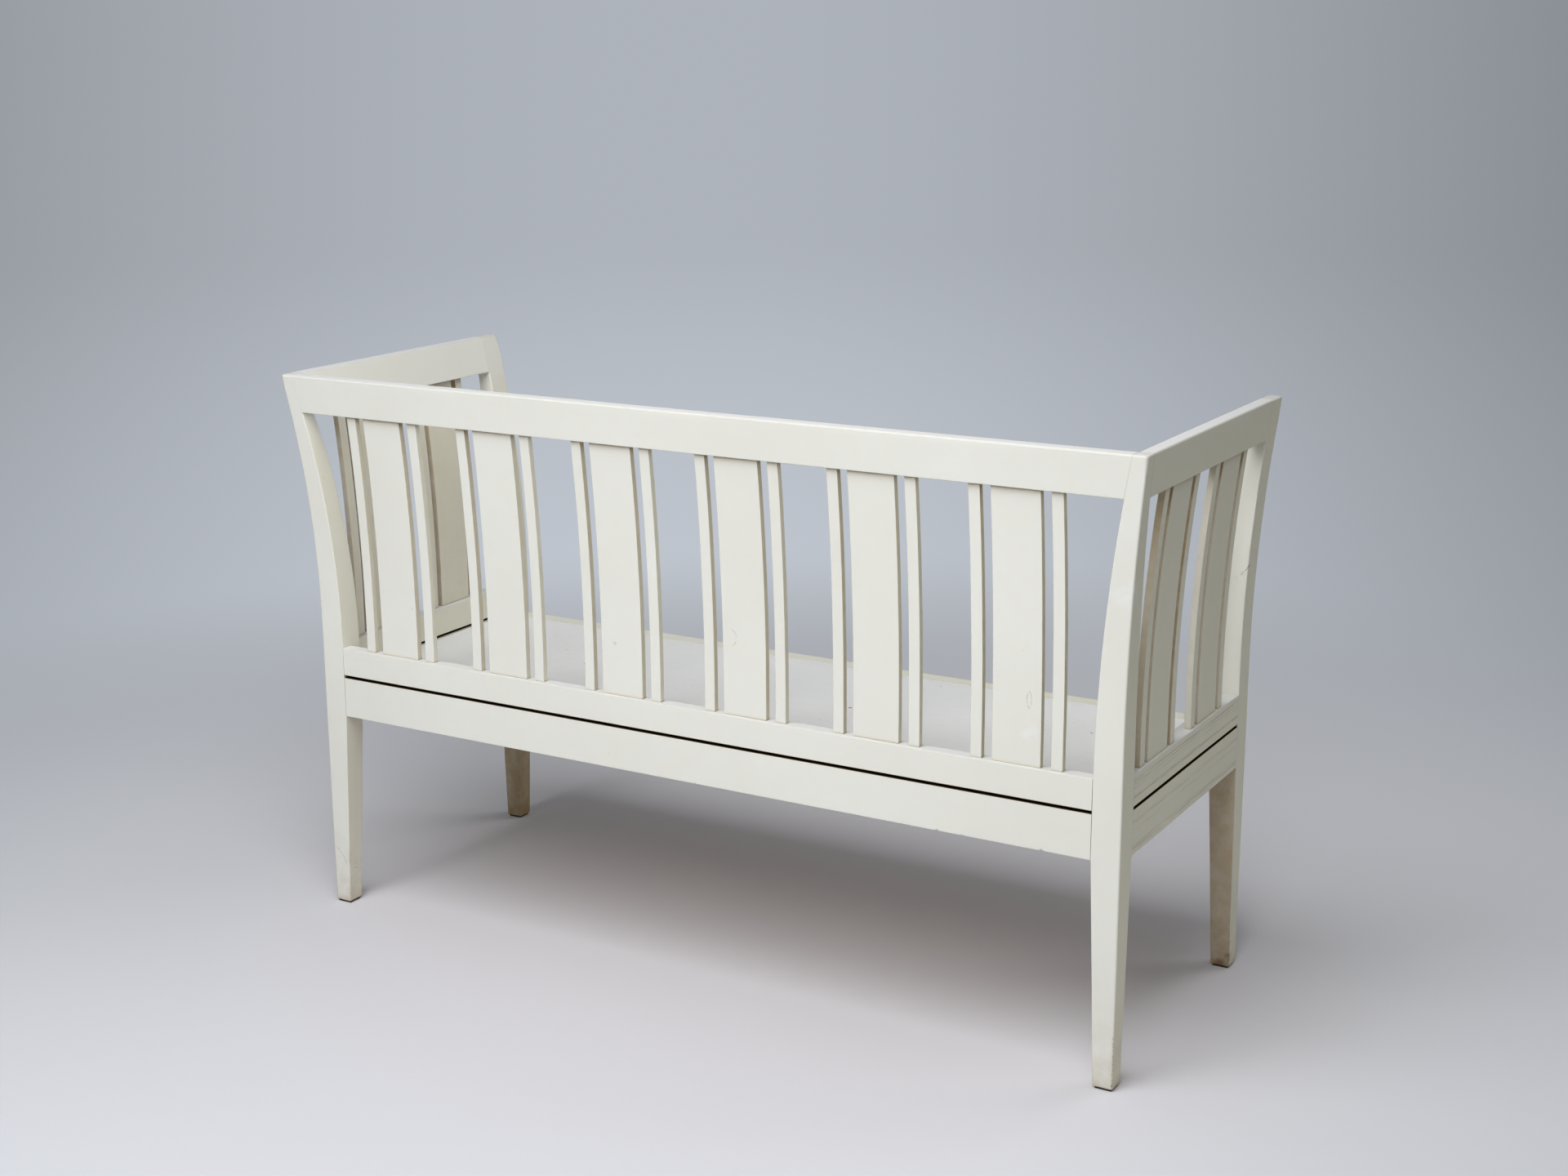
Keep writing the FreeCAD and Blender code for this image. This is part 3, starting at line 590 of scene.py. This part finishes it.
steelLook = {
    "bright": (0.34, 0.33, 0.32), "rust": (0.23, 0.13, 0.07), "cloud": (240.0, 4.0, 0.6),
    "rusted": (0.45, 0.7), "roughness": (0.3, 0.7, 0.35, 0.65), "depth": 0.0001, "metallic": 0.85,
}
feltLook = {
    "dark": (0.03, 0.026, 0.022), "light": (0.08, 0.07, 0.06), "nap": (900.0, 3.0, 0.7), "roughness": 0.95,
    "depth": 0.0004, "specular": 0.2,
}


def steelMaterial():
    # Dark, dull steel with cloudy rust
    material, place = newMaterial("aged_steel")
    cloud = noiseAt(place, *steelLook["cloud"])
    colour = blended(ranged(cloud, *steelLook["rusted"]), steelLook["bright"], steelLook["rust"])
    closeMaterial(colour, ranged(cloud, *steelLook["roughness"]), [(cloud, steelLook["depth"])],
                  metallic=steelLook["metallic"])
    return material


def feltMaterial():
    # Short dark felt
    material, place = newMaterial("dark_felt")
    nap = noiseAt(place, *feltLook["nap"])
    colour = blended(nap, feltLook["dark"], feltLook["light"])
    closeMaterial(colour, feltLook["roughness"], [(nap, feltLook["depth"])], feltLook["specular"])
    return material


steel = steelMaterial()
felt = feltMaterial()
for name, material in (("foot_pads", felt), ("leg_pivot_bolts", steel), ("fixed_slat_screws", steel),
                       ("pullout_slat_screws", steel), ("front_cross_rail", woodAlong["x"])):
    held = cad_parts[name].data.materials
    held.clear()
    held.append(material)
print("materials made")

# Seeds of the unevenness. Pieces of one kind count on from theirs
seeds = {
    "frontPosts": 11, "backPosts": 14, "lowerRails": 21, "aprons": 31, "crests": 41, "frontApron": 61,
    "frontBatten": 62, "rearBatten": 63, "ledger": 64, "slats": 100, "fixedSlats": 200, "pulloutSlats": 230,
}

# Posts
post = {
    "arris": 0.0012, "outerArris": 0.0026, "frontArris": 0.002, "oval": 0.0065, "ovalDrop": 0.035,
    "backCorner": 0.0055, "topRound": 0.003, "footRound": 0.0012, "innerTopRound": 0.0012,
    "plainTopRound": 0.0002, "jointArris": 0.00015, "jointFade": 0.004, "waver": 0.00022, "step": 0.009,
    "marked": np.linspace(-0.006, 0.006, 9), "sideSteps": (5, 5, 5, 5), "legFade": 0.12, "footOval": 0.35,
    "footGrime": 0.45, "footReach": 0.01, "mostGrimeAndShade": 0.99, "tanAndShade": {"left": 0.84, "right": 0.99},
    "tanRise": 0.14, "seatSideTanAndShade": 0.07, "tanEdge": 0.0014,
}
railZones = ((apronBottom, railTop), (crestBottom, benchTop))


def jointShare(z):
    # 1 where a rail lies flush with the post, falling to 0 just outside it
    share = np.zeros_like(z)
    for low, high in railZones:
        outside = np.maximum(np.maximum(low - z, z - high), 0)
        share = np.maximum(share, np.clip(1 - outside / post["jointFade"], 0, 1))
    return share


def footGrime(z):
    # Most at the floor, falling by a factor of e over the foot's reach
    return post["footGrime"] * np.exp(-np.clip(z - padTop, 0, None) / post["footReach"])


def makePost(hand, back):
    # The outer faces stand on the seat's outline and lean out above it, the inner ones taper below the apron
    side = -1 if hand == "left" else 1
    depth, outerFace = ("back", backY) if back else ("front", -frontY)
    marks = [(z, post["marked"]) for zone in railZones for z in zone]
    stations = stationsAlong(padTop, benchTop, post["footRound"], post["topRound"], post["step"], marks)
    taper = np.clip((stations - padTop) / (apronBottom - padTop), 0, 1)
    below = sabre["footWidth"] + (postWidth - sabre["footWidth"]) * taper
    curvedWidth = np.where(stations > railTop, postWidth - innerLean(stations) + outerLean(stations), below)
    depthWidth = curvedWidth if back else below
    outerX = halfLength + outerLean(stations)
    outerY = outerFace + outerLean(stations) * back
    free = 1 - jointShare(stations)
    inner = post["arris"] + 0 * stations
    flush = post["jointArris"] + (post["arris"] - post["jointArris"]) * free
    top = np.clip((stations - benchTop + post["ovalDrop"]) / post["ovalDrop"], 0, 1) ** 2
    oval = post["frontArris"] + (post["oval"] - post["frontArris"]) * top
    outer = post["outerArris"] + (post["backCorner"] - post["outerArris"]) * top
    legFade = np.clip((stations - padTop) / post["legFade"], post["footOval"], 1)
    if back:
        radii = np.stack([inner, flush, outer, flush], 1)
        innerTop = post["plainTopRound"]
    else:
        innerFront = post["arris"] + (post["oval"] - post["arris"]) * top
        radii = np.stack([inner, flush, oval * legFade, innerFront], 1)
        innerTop = post["innerTopRound"]
    endTop = (innerTop, post["topRound"], post["plainTopRound"], post["topRound"])
    endFoot = (post["footRound"],) * 4

    def dirtAndShade(a, b, z):
        # Dirt at the foot, and on the two inner faces of a front post tanned, thin paint with painted shade,
        # darkest on the right leg under the seat
        if back:
            return np.clip(footGrime(z), 0, post["mostGrimeAndShade"])
        inside = a - (halfLength + outerLean(z) - np.interp(z, stations, curvedWidth))
        behind = b - (outerFace - np.interp(z, stations, depthWidth))
        tannedAndShaded = np.clip(1 - np.minimum(inside, behind) / post["tanEdge"], 0, 1)
        leg = post["tanAndShade"][hand] * (1 - post["tanRise"] * (1 - z / apronBottom))
        tannedAndShaded *= np.where(z < apronBottom, leg, post["seatSideTanAndShade"])
        return np.clip(footGrime(z) + tannedAndShaded, 0, post["mostGrimeAndShade"])

    def place(a, b, z):
        # a and b run outwards from the inner corner, along X and Y
        return np.stack([side * a, (b if back else -b), z], 1)

    edges = (outerX - curvedWidth, outerX, outerY - depthWidth, outerY)
    shell = carriedBar(stations, edges, radii, (endFoot, endTop), place, post["sideSteps"], dirtAndShade)
    shell["points"] = waver(shell["points"], seeds[depth + "Posts"] + side, post["waver"])
    shell["points"][:, 2] = np.minimum(shell["points"][:, 2], benchTop)
    painted("%s_%s_post" % (depth, hand), shell, paintAlong["z"])


for hand in ("left", "right"):
    makePost(hand, True)
    makePost(hand, False)
print("posts made")

# Rails and aprons between the posts. A nick is its place along the rail, its width and its height
rail = {
    "arris": 0.0011, "topArris": 0.0016, "slotArris": 0.0005, "slotDepth": 0.0009, "slotFlat": 0.0001,
    "slotShadeLevel": 2.0, "crack": 0.00014, "waver": 0.00016, "crestRound": 0.003, "crestInner": 0.0016,
    "crestLow": 0.001, "step": 0.02, "sideSteps": (3, 6, 3, 6), "crestSteps": (3, 8, 4, 8),
    "jointLine": 0.55, "crestLine": 0.35, "jointReach": 0.0008, "jointMarked": np.array([0.0004, 0.0008]),
    "nicks": {
        "back_apron": ((-0.4254, 0.0026, 0.0013), (-0.4647, 0.0018, 0.0009), (-0.5842, 0.003, 0.0014)),
    },
    "nicked": np.linspace(-2, 2, 13), "nickHeight": 0.004, "nickDepth": 0.005,
}


def onSide(side):
    # Puts a member drawn along X, with its outer face at y 0 and the inside at -y, on one side of the bench
    if side == "back":
        return lambda a, b, z: np.stack([a, backY + b, z], 1)
    sign = -1 if side == "left" else 1
    return lambda a, b, z: np.stack([sign * (halfLength + b), a, z], 1)


def between(side):
    # Where the straight faces of the two posts of a side stand
    if side == "back":
        return -postInnerX, postInnerX
    return frontY + postWidth, backY - postWidth


def jointLine(fromStart, fromFinish, strength):
    # A thin line of dirt at either end of a rail, fading over its reach
    return strength * np.clip(1 - np.minimum(fromStart, fromFinish) / rail["jointReach"], 0, 1)


def nicked(points, node, bottom):
    # Small hollows knocked into the bottom edge: lifted by height * exp(-(x - middle)^2 / width^2)
    for middle, width, height in rail["nicks"].get(node, ()):
        share = np.exp(-((points[:, 0] - middle) / width) ** 2)
        share *= np.clip(1 - (points[:, 2] - bottom) / rail["nickHeight"], 0, 1)
        share *= np.clip(1 - (backY - points[:, 1]) / rail["nickDepth"], 0, 1)
        points[:, 2] += height * share
    return points


def makeRail(node, side, bottom, top, seed):
    # A straight board, flush with the posts' outer faces
    low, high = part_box(node)
    thick = (high - low).y if side == "back" else (high - low).x
    start, finish = between(side)
    start, finish = start + rail["crack"], finish - rail["crack"]
    put = onSide(side)
    marks = [(start, rail["jointMarked"]), (finish, -rail["jointMarked"])]
    marks += [(nick[0], nick[1] * rail["nicked"]) for nick in rail["nicks"].get(node, ())]
    stations = stationsAlong(start, finish, 0, 0, rail["step"], marks)
    isApron = node.endswith("apron")
    edges = [rail["arris"]] * 4
    edges[2 if isApron else 1] = rail["slotArris"]
    if not isApron:
        edges[2] = rail["topArris"]
    slotLevel = top if isApron else bottom

    def slotShadeAndJointDirt(a, b, t):
        # Painted shade: the faces that close the slot are painted near black, and a thin line of dirt lies
        # on each joint
        off = np.abs(b - slotLevel) - rail["slotFlat"]
        slot = rail["slotShadeLevel"] * np.clip(1 - off / rail["slotDepth"], 0, 1)
        return np.maximum(slot, jointLine(t - start, finish - t, rail["jointLine"]))

    shell = carriedBar(stations, (-thick, 0, bottom, top), edges, plainEnds,
                       lambda a, b, t: put(t, a, b), rail["sideSteps"], slotShadeAndJointDirt)
    shell["points"] = nicked(waver(shell["points"], seed, rail["waver"]), node, bottom)
    grain = "x" if side == "back" else "checked" if side == "left" else "y"
    painted(node, shell, paintAlong[grain])


def makeCrest(node, side, seed):
    # A board flush with both faces of the posts: its section leans out and thins towards the top as they
    # do, and its ends follow their inner faces
    start, finish = between(side)
    put = onSide(side)
    stations = stationsAlong(0, 1, 0, 0, rail["step"])
    thick = sabre["topWidth"]

    def place(a, b, t):
        low = start - (innerLean(b) if side == "back" else 0) + rail["crack"]
        high = finish + innerLean(b) - rail["crack"]
        width = postWidth - innerLean(b) + outerLean(b)
        return put(low + (high - low) * t, a * width / thick + outerLean(b), b)

    radii = (rail["crestLow"], rail["crestLow"], rail["crestRound"], rail["crestInner"])
    length = finish - start
    shell = carriedBar(stations, (-thick, 0, crestBottom, benchTop), radii, plainEnds, place,
                       rail["crestSteps"],
                       lambda a, b, t: jointLine(t * length, (1 - t) * length, rail["crestLine"]))
    shell["points"] = waver(shell["points"], seed, rail["waver"])
    shell["points"][:, 2] = np.minimum(shell["points"][:, 2], benchTop)
    painted(node, shell, paintAlong["x" if side == "back" else "y"])


for index, side in enumerate(("back", "left", "right")):
    makeRail(side + "_lower_rail", side, railBottom, railTop, seeds["lowerRails"] + index)
    makeRail(side + "_apron", side, apronBottom, apronTop, seeds["aprons"] + index)
    makeCrest("back_crest_rail" if side == "back" else side + "_arm_rail", side, seeds["crests"] + index)
print("rails made")

# Slats
slat = {
    "arris": 0.0007, "thick": 0.01, "inset": 0.004, "sunk": 0.0012, "waver": 0.00018, "step": 0.011,
    "sideSteps": (4, 2, 4, 2), "endStations": 4, "flank": 0.13, "narrowFlank": 0.85, "backFlank": 0.3,
    "endFlank": 0.34, "postFlank": 0.52, "narrowGap": 0.013, "middleGap": 0.018, "spread": (0.6, 1.4),
    "mostFlank": 0.9, "flankDepth": 0.0004, "foot": 0.9, "footReach": 0.0013, "head": 0.95,
    "headReach": 0.0042, "shade": 0.8, "shadeReach": 0.05, "seatSideTanAndShade": 0.16, "seatDepth": 0.0006,
    "mostGrimeAndShade": 0.95,
}


def slatSpan(node):
    # Where a slat starts and ends along its rail
    low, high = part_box(node)
    return (low.x, high.x) if node.startswith("back") else (low.y, high.y)


def flankGrimeAndShade(node, side, seed):
    # Dirt and painted shade on the two flanks of a slat: most in the narrowest gaps, and a little different
    # on each slat
    low, high = slatSpan(node)
    others = [slatSpan(other) for other in slatNodes if other.startswith(side) and other != node]
    spread = np.random.default_rng(seed).uniform(*slat["spread"], 2)
    levels = []
    for gaps in ([low - b for a, b in others if b <= low], [a - high for a, b in others if a >= high]):
        if side != "back" and not gaps:
            kind = "postFlank"
        elif gaps and min(gaps) < slat["narrowGap"]:
            kind = "narrowFlank"
        elif gaps and min(gaps) < slat["middleGap"]:
            kind = "backFlank"
        else:
            kind = "flank" if side == "back" else "endFlank"
        levels.append(slat[kind])
    return np.clip(np.array(levels) * spread, 0, slat["mostFlank"])


def makeSlat(node, side, seed):
    # An upright board that follows the outer curve, sunk a little into both rails
    start, finish = slatSpan(node)
    put = onSide(side)
    outer = -slat["inset"]
    inner = outer - slat["thick"]
    stations = stationsAlong(railTop - slat["sunk"], crestBottom + slat["sunk"], 0, 0, slat["step"])
    close = nearEnd[:slat["endStations"]]
    stations = np.unique(np.concatenate([stations, railTop + close, crestBottom - close]))
    levels = flankGrimeAndShade(node, side, seed)

    def skin(depth, thickness):
        # 1 on a face, falling to 0 at the thickness below it
        return np.clip(1 - depth / thickness, 0, 1)

    def grimeAndShade(a, b, z):
        # Dirt and painted shade on the flanks, a thin line of dirt at the foot, dirt and the crest's painted
        # shadow at the head, a little more painted shade on the flanks below the crest, and a tan, partly
        # painted shade, on the seat side of an end slat
        flanks = levels[0] * skin(a - start, slat["flankDepth"])
        flanks += levels[1] * skin(finish - a, slat["flankDepth"])
        above, below = np.clip(z - railTop, 0, None), np.clip(crestBottom - z, 0, None)
        shade = 1 + slat["shade"] * np.exp(-below / slat["shadeReach"])
        foot = slat["foot"] * np.exp(-above / slat["footReach"])
        head = slat["head"] * np.exp(-below / slat["headReach"])
        seatSideTanAndShade = slat["seatSideTanAndShade"] * skin(b - inner, slat["seatDepth"])
        return np.clip(shade * flanks + foot + head + (side != "back") * seatSideTanAndShade, 0, slat["mostGrimeAndShade"])

    shell = carriedBar(stations, (start, finish, inner, outer), (slat["arris"],) * 4, plainEnds,
                       lambda a, b, z: put(a, b + outerLean(z), z), slat["sideSteps"], grimeAndShade)
    shell["points"] = waver(shell["points"], seed, slat["waver"])
    painted(node, shell, paintAlong["z"])


slatNodes = sorted(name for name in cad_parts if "_narrow_slat_" in name or "_wide_slat_" in name)
for number, node in enumerate(slatNodes):
    makeSlat(node, node.split("_")[0], seeds["slats"] + number)
print("slats made")


# Seat board and fold-down legs: plates cut from an outline
def plateRings(outline, low, high, arris, put):
    # The outline is drawn in along its mitres as a quarter circle rounds it into each face
    outline = np.asarray(outline, float)
    edge = np.roll(outline, -1, 0) - outline
    normal = np.stack([-edge[:, 1], edge[:, 0]], 1) / np.linalg.norm(edge, axis=1)[:, None]
    before = np.roll(normal, 1, 0)
    mitre = (before + normal) / (1 + np.sum(before * normal, 1))[:, None]
    drawnIn, drawnUp = arris * (1 - np.sin(quarterTurn)), arris * (1 - np.cos(quarterTurn))
    inset = np.concatenate([drawnIn, drawnIn[::-1]])
    height = np.concatenate([low + drawnUp, (high - drawnUp)[::-1]])
    rings = outline[None] + inset[:, None, None] * mitre[None]
    a, b = rings[..., 0].ravel(), rings[..., 1].ravel()
    t = np.repeat(height, len(outline))
    weight = np.sin(2 * quarterTurn)
    arrisWeight = np.repeat(np.concatenate([weight, weight[::-1]]), len(outline))
    return {"points": put(a, b, t), "faces": ringFaces(len(height), len(outline)), "arris": arrisWeight,
            "grimeAndShade": np.zeros(len(a))}


def subdivided(outline, step):
    # More points on the long straight edges
    outline = np.asarray(outline, float)
    parts = []
    for first, second in zip(outline, np.roll(outline, -1, 0)):
        count = max(int(np.linalg.norm(second - first) / step), 1)
        parts.append(first + (second - first) * np.linspace(0, 1, count + 1)[:-1, None])
    return np.concatenate(parts)


# The board's corners are cut out round the posts
seat = {"arris": 0.0012, "notch": 0.0445, "step": 0.05}
low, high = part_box("seat_board")
notchX, notchY = halfLength - seat["notch"], backY - seat["notch"]
frontNotchY = frontY + seat["notch"]
half = [(notchX, low.y), (notchX, frontNotchY), (high.x, frontNotchY), (high.x, notchY), (notchX, notchY),
        (notchX, high.y)]
outline = half + [(-x, y) for x, y in reversed(half)]
shell = plateRings(subdivided(outline, seat["step"]), low.z, high.z, seat["arris"],
                   lambda a, b, t: np.stack([a, b, t], 1))
wooden("seat_board_painted", [shell], boardMaterial(), "seat_board", ["seat_board"])

foldLeg = {"arris": 0.0012, "topWidth": 0.024, "footWidth": 0.019, "roundSteps": 14}


def makeFoldLeg(hand):
    # A tapered leg with a half-round top about its bolt, stored lying towards the middle
    node = hand + "_fold_leg"
    low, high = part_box(node)
    inwards = 1 if hand == "left" else -1
    top, foot = foldLeg["topWidth"] / 2, foldLeg["footWidth"] / 2
    length = (high.x - low.x) - top
    pivotX = low.x + top if hand == "left" else high.x - top
    pivotZ = (low.z + high.z) / 2
    turn = np.linspace(math.pi / 2, 3 * math.pi / 2, foldLeg["roundSteps"] + 1)
    outline = [(top * math.cos(t), top * math.sin(t)) for t in turn] + [(length, -foot), (length, foot)]

    def put(a, b, t):
        return np.stack([pivotX + inwards * a, t, pivotZ + b], 1)

    shell = plateRings(outline, low.y, high.y, foldLeg["arris"], put)
    wooden(node + "_wood", [shell], woodAlong["x"], node, [node])


for hand in ("left", "right"):
    makeFoldLeg(hand)


# Bed frame: the front apron, the battens and the two rows of slats
bed = {
    "arris": 0.0012, "slatArris": 0.0018, "waver": 0.0002, "step": 0.03, "slatWidth": 0.038,
    "headProud": 0.00012, "fixedSlats": 16, "pulloutSlats": 15,
}


def makeBoards(name, node, boxes, axis, body, material, arris, seed):
    # One softened board for each box, along X or along Y
    run, across = (0, 1) if axis == "x" else (1, 0)
    order = [2, 0, 1] if axis == "x" else [0, 2, 1]
    shells = []
    for number, (low, high) in enumerate(boxes):
        stations = stationsAlong(low[run], high[run], arris, arris, bed["step"])
        shell = carriedBar(stations, (low[across], high[across], low[2], high[2]), (arris,) * 4,
                           ((arris,) * 4, (arris,) * 4), lambda a, b, t: np.stack([a, b, t], 1)[:, order])
        shell["points"] = waver(shell["points"], seed + number, bed["waver"])
        shells.append(shell)
    wooden(name, shells, material, body, [node])


def slatBoxes(node, count):
    # Equal boxes at an equal pitch across the node, a hair under the heads of the screws
    low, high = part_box(node)
    width = bed["slatWidth"]
    pitch = (high.x - low.x - width) / (count - 1)
    top = high.z - bed["headProud"]
    starts = [low.x + i * pitch for i in range(count)]
    return [((start, low.y, low.z), (start + width, high.y, top)) for start in starts]


makeBoards("pullout_front_apron_painted", "pullout_front_apron", [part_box("pullout_front_apron")], "x",
           "pullout", paintAlong["front"], bed["arris"], seeds["frontApron"])
for node, body, seed in (("pullout_front_batten", "pullout", "frontBatten"),
                         ("pullout_rear_batten", "pullout", "rearBatten"),
                         ("back_slat_ledger", "carcass", "ledger")):
    makeBoards(node + "_wood", node, [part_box(node)], "x", body, woodAlong["x"],
               bed["arris"], seeds[seed])
for node, body, row in (("fixed_bed_slats", "carcass", "fixedSlats"),
                        ("pullout_bed_slats", "pullout", "pulloutSlats")):
    makeBoards(node + "_wood", node, slatBoxes(node, bed[row]), "y", body, woodAlong["y"],
               bed["slatArris"], seeds[row])
print("bed frame made")

# Floor, backdrop and light. Ranges on the floor are distances from the middle of the bench
tones = {"near": (0.634, 0.628, 0.662), "outer": (0.63, 0.645, 0.684), "far": (0.4235, 0.4524, 0.499)}
stage = {
    "sideways": (-0.867, -0.498, 0.0), "middle": -0.048, "dimmed": (0.02, 0.65, 1.0, 0.33), "standOff": 3.6,
    "lifted": (-6.0, 12.7, 1.41, 1.0), "outward": (0.5, 1.3), "glowing": (1.1, 2.8), "radius": 120.0,
    "sides": 96,
}


def backdropTone(place, reach, lift):
    # Painted light: the far tone times the lift, dimmed towards both sides of the line on which the bench's
    # corner stands, as a falloff of the studio's light: the side is the share of the place that lies across
    # that line, over the reach
    side = nodeFrom("VectorMath", {0: place, 1: stage["sideways"]}, operation="DOT_PRODUCT")
    share = combined("DIVIDE", side["Value"], reach)
    level = ranged(offFrom(share, stage["middle"]), *stage["dimmed"], "SMOOTHSTEP")
    return blended(1.0, tones["far"], product(level, lift), "MULTIPLY")


def seenDirectly(user):
    # 1 for what the camera sees, straight or by reflection, and 0 for light
    rays = nodeIn(user.node_tree, "LightPath")
    return combined("MAXIMUM", rays["Is Camera Ray"], rays["Is Glossy Ray"])


def makeFloor():
    # A pale disc, its colour a little cooler outwards as a painted tint of the light, that ends in the tone
    # of the backdrop
    material, place = newMaterial("studio_floor")
    reach = distanceTo(place, (0.0, 0.0, 0.0))
    colour = blended(ranged(reach, *stage["outward"]), tones["near"], tones["outer"])
    matt = nodeFrom("BsdfDiffuse", {"Color": colour})[0]
    lift = ranged(reach, *stage["lifted"], curve="SMOOTHSTEP")
    tone = backdropTone(place, combined("ADD", reach, stage["standOff"]), lift)
    glow = nodeFrom("Emission", {"Color": tone, "Strength": 1.0})[0]
    edge = ranged(reach, *stage["glowing"], curve="SMOOTHSTEP")
    mixed = nodeFrom("MixShader", {0: product(edge, seenDirectly(material)), 1: matt, 2: glow})
    nodeFrom("OutputMaterial", {"Surface": mixed[0]})
    turn = np.linspace(0, 2 * math.pi, stage["sides"] + 1)[:-1]
    points = np.stack([np.cos(turn), np.sin(turn), 0 * turn], 1) * stage["radius"]
    newPiece("studio_floor", points, [list(range(len(points)))], material)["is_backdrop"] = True


lights = {
    "target": (0.0, 0.0, 0.45),
    "key": {"towards": (-0.054, 0.613, 0.788), "distance": 3.0, "size": 2.6, "level": 1.27,
            "tint": (1.0, 1.0, 1.0)},
    "fill": {"towards": (-0.56, -0.64, 0.53), "distance": 6.0, "size": 3.5, "level": 0.2,
             "tint": (1.0, 0.975, 0.93)},
    "horizon": 0.02, "zenith": 0.22, "domeTint": (0.92, 0.95, 1.0),
}


def makeSoftbox(name, towards, distance, size, level, tint):
    # A square lamp. Its power, level * (pi * distance)^2, lights a white surface that faces it to that level
    away = Vector(towards).normalized()
    data = bpy.data.lights.new(name, "AREA")
    data.shape = "SQUARE"
    data.size = size
    data.energy = level * (math.pi * distance) ** 2
    data.color = tint
    lamp = newObject(name, data)
    lamp.location = Vector(lights["target"]) + distance * away
    lamp.rotation_euler = away.to_track_quat("Z", "Y").to_euler()
    lamp.visible_camera = False


def makeWorld():
    # A dome that is brighter overhead than at the horizon, and shows the backdrop's tone where it is seen
    world = bpy.data.worlds.new("studio")
    world.use_nodes = True
    world.node_tree.nodes.clear()
    direction = nodeIn(world.node_tree, "TexCoord")["Generated"]
    level = ranged(partsOf(direction)["Z"], 0.0, 1.0, lights["horizon"], lights["zenith"])
    dome = nodeFrom("Background", {"Color": lights["domeTint"], "Strength": level})
    seen = nodeFrom("Background", {"Color": backdropTone(direction, 1.0, 1.0), "Strength": 1.0})
    mixed = nodeFrom("MixShader", {0: seenDirectly(world), 1: dome[0], 2: seen[0]})
    nodeFrom("OutputWorld", {"Surface": mixed[0]})
    bpy.context.scene.world = world


makeFloor()
makeWorld()
for name in ("key", "fill"):
    makeSoftbox(name + "_light", **lights[name])
bpy.context.scene.view_settings.view_transform = "Standard"

# The photograph's view
shot = {
    "place": (-1.7178, 2.8988, 1.4296), "forward": (0.50444, -0.82808, -0.24459),
    "up": (0.11956, -0.21356, 0.96959), "sensor": 36.0, "lens": 51.033, "shiftX": 0.03092,
}
forward, up = Vector(shot["forward"]).normalized(), Vector(shot["up"]).normalized()
right = forward.cross(up).normalized()
up = right.cross(forward)
cameraData = bpy.data.cameras.new("camera")
cameraData.sensor_width = shot["sensor"]
cameraData.lens = shot["lens"]
cameraData.shift_x = shot["shiftX"]
camera = newObject("camera", cameraData)
camera.matrix_world = Matrix((right, up, -forward)).transposed().to_4x4()
camera.location = shot["place"]
bpy.context.scene.camera = camera
print("stage, light and camera made")

low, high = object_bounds()
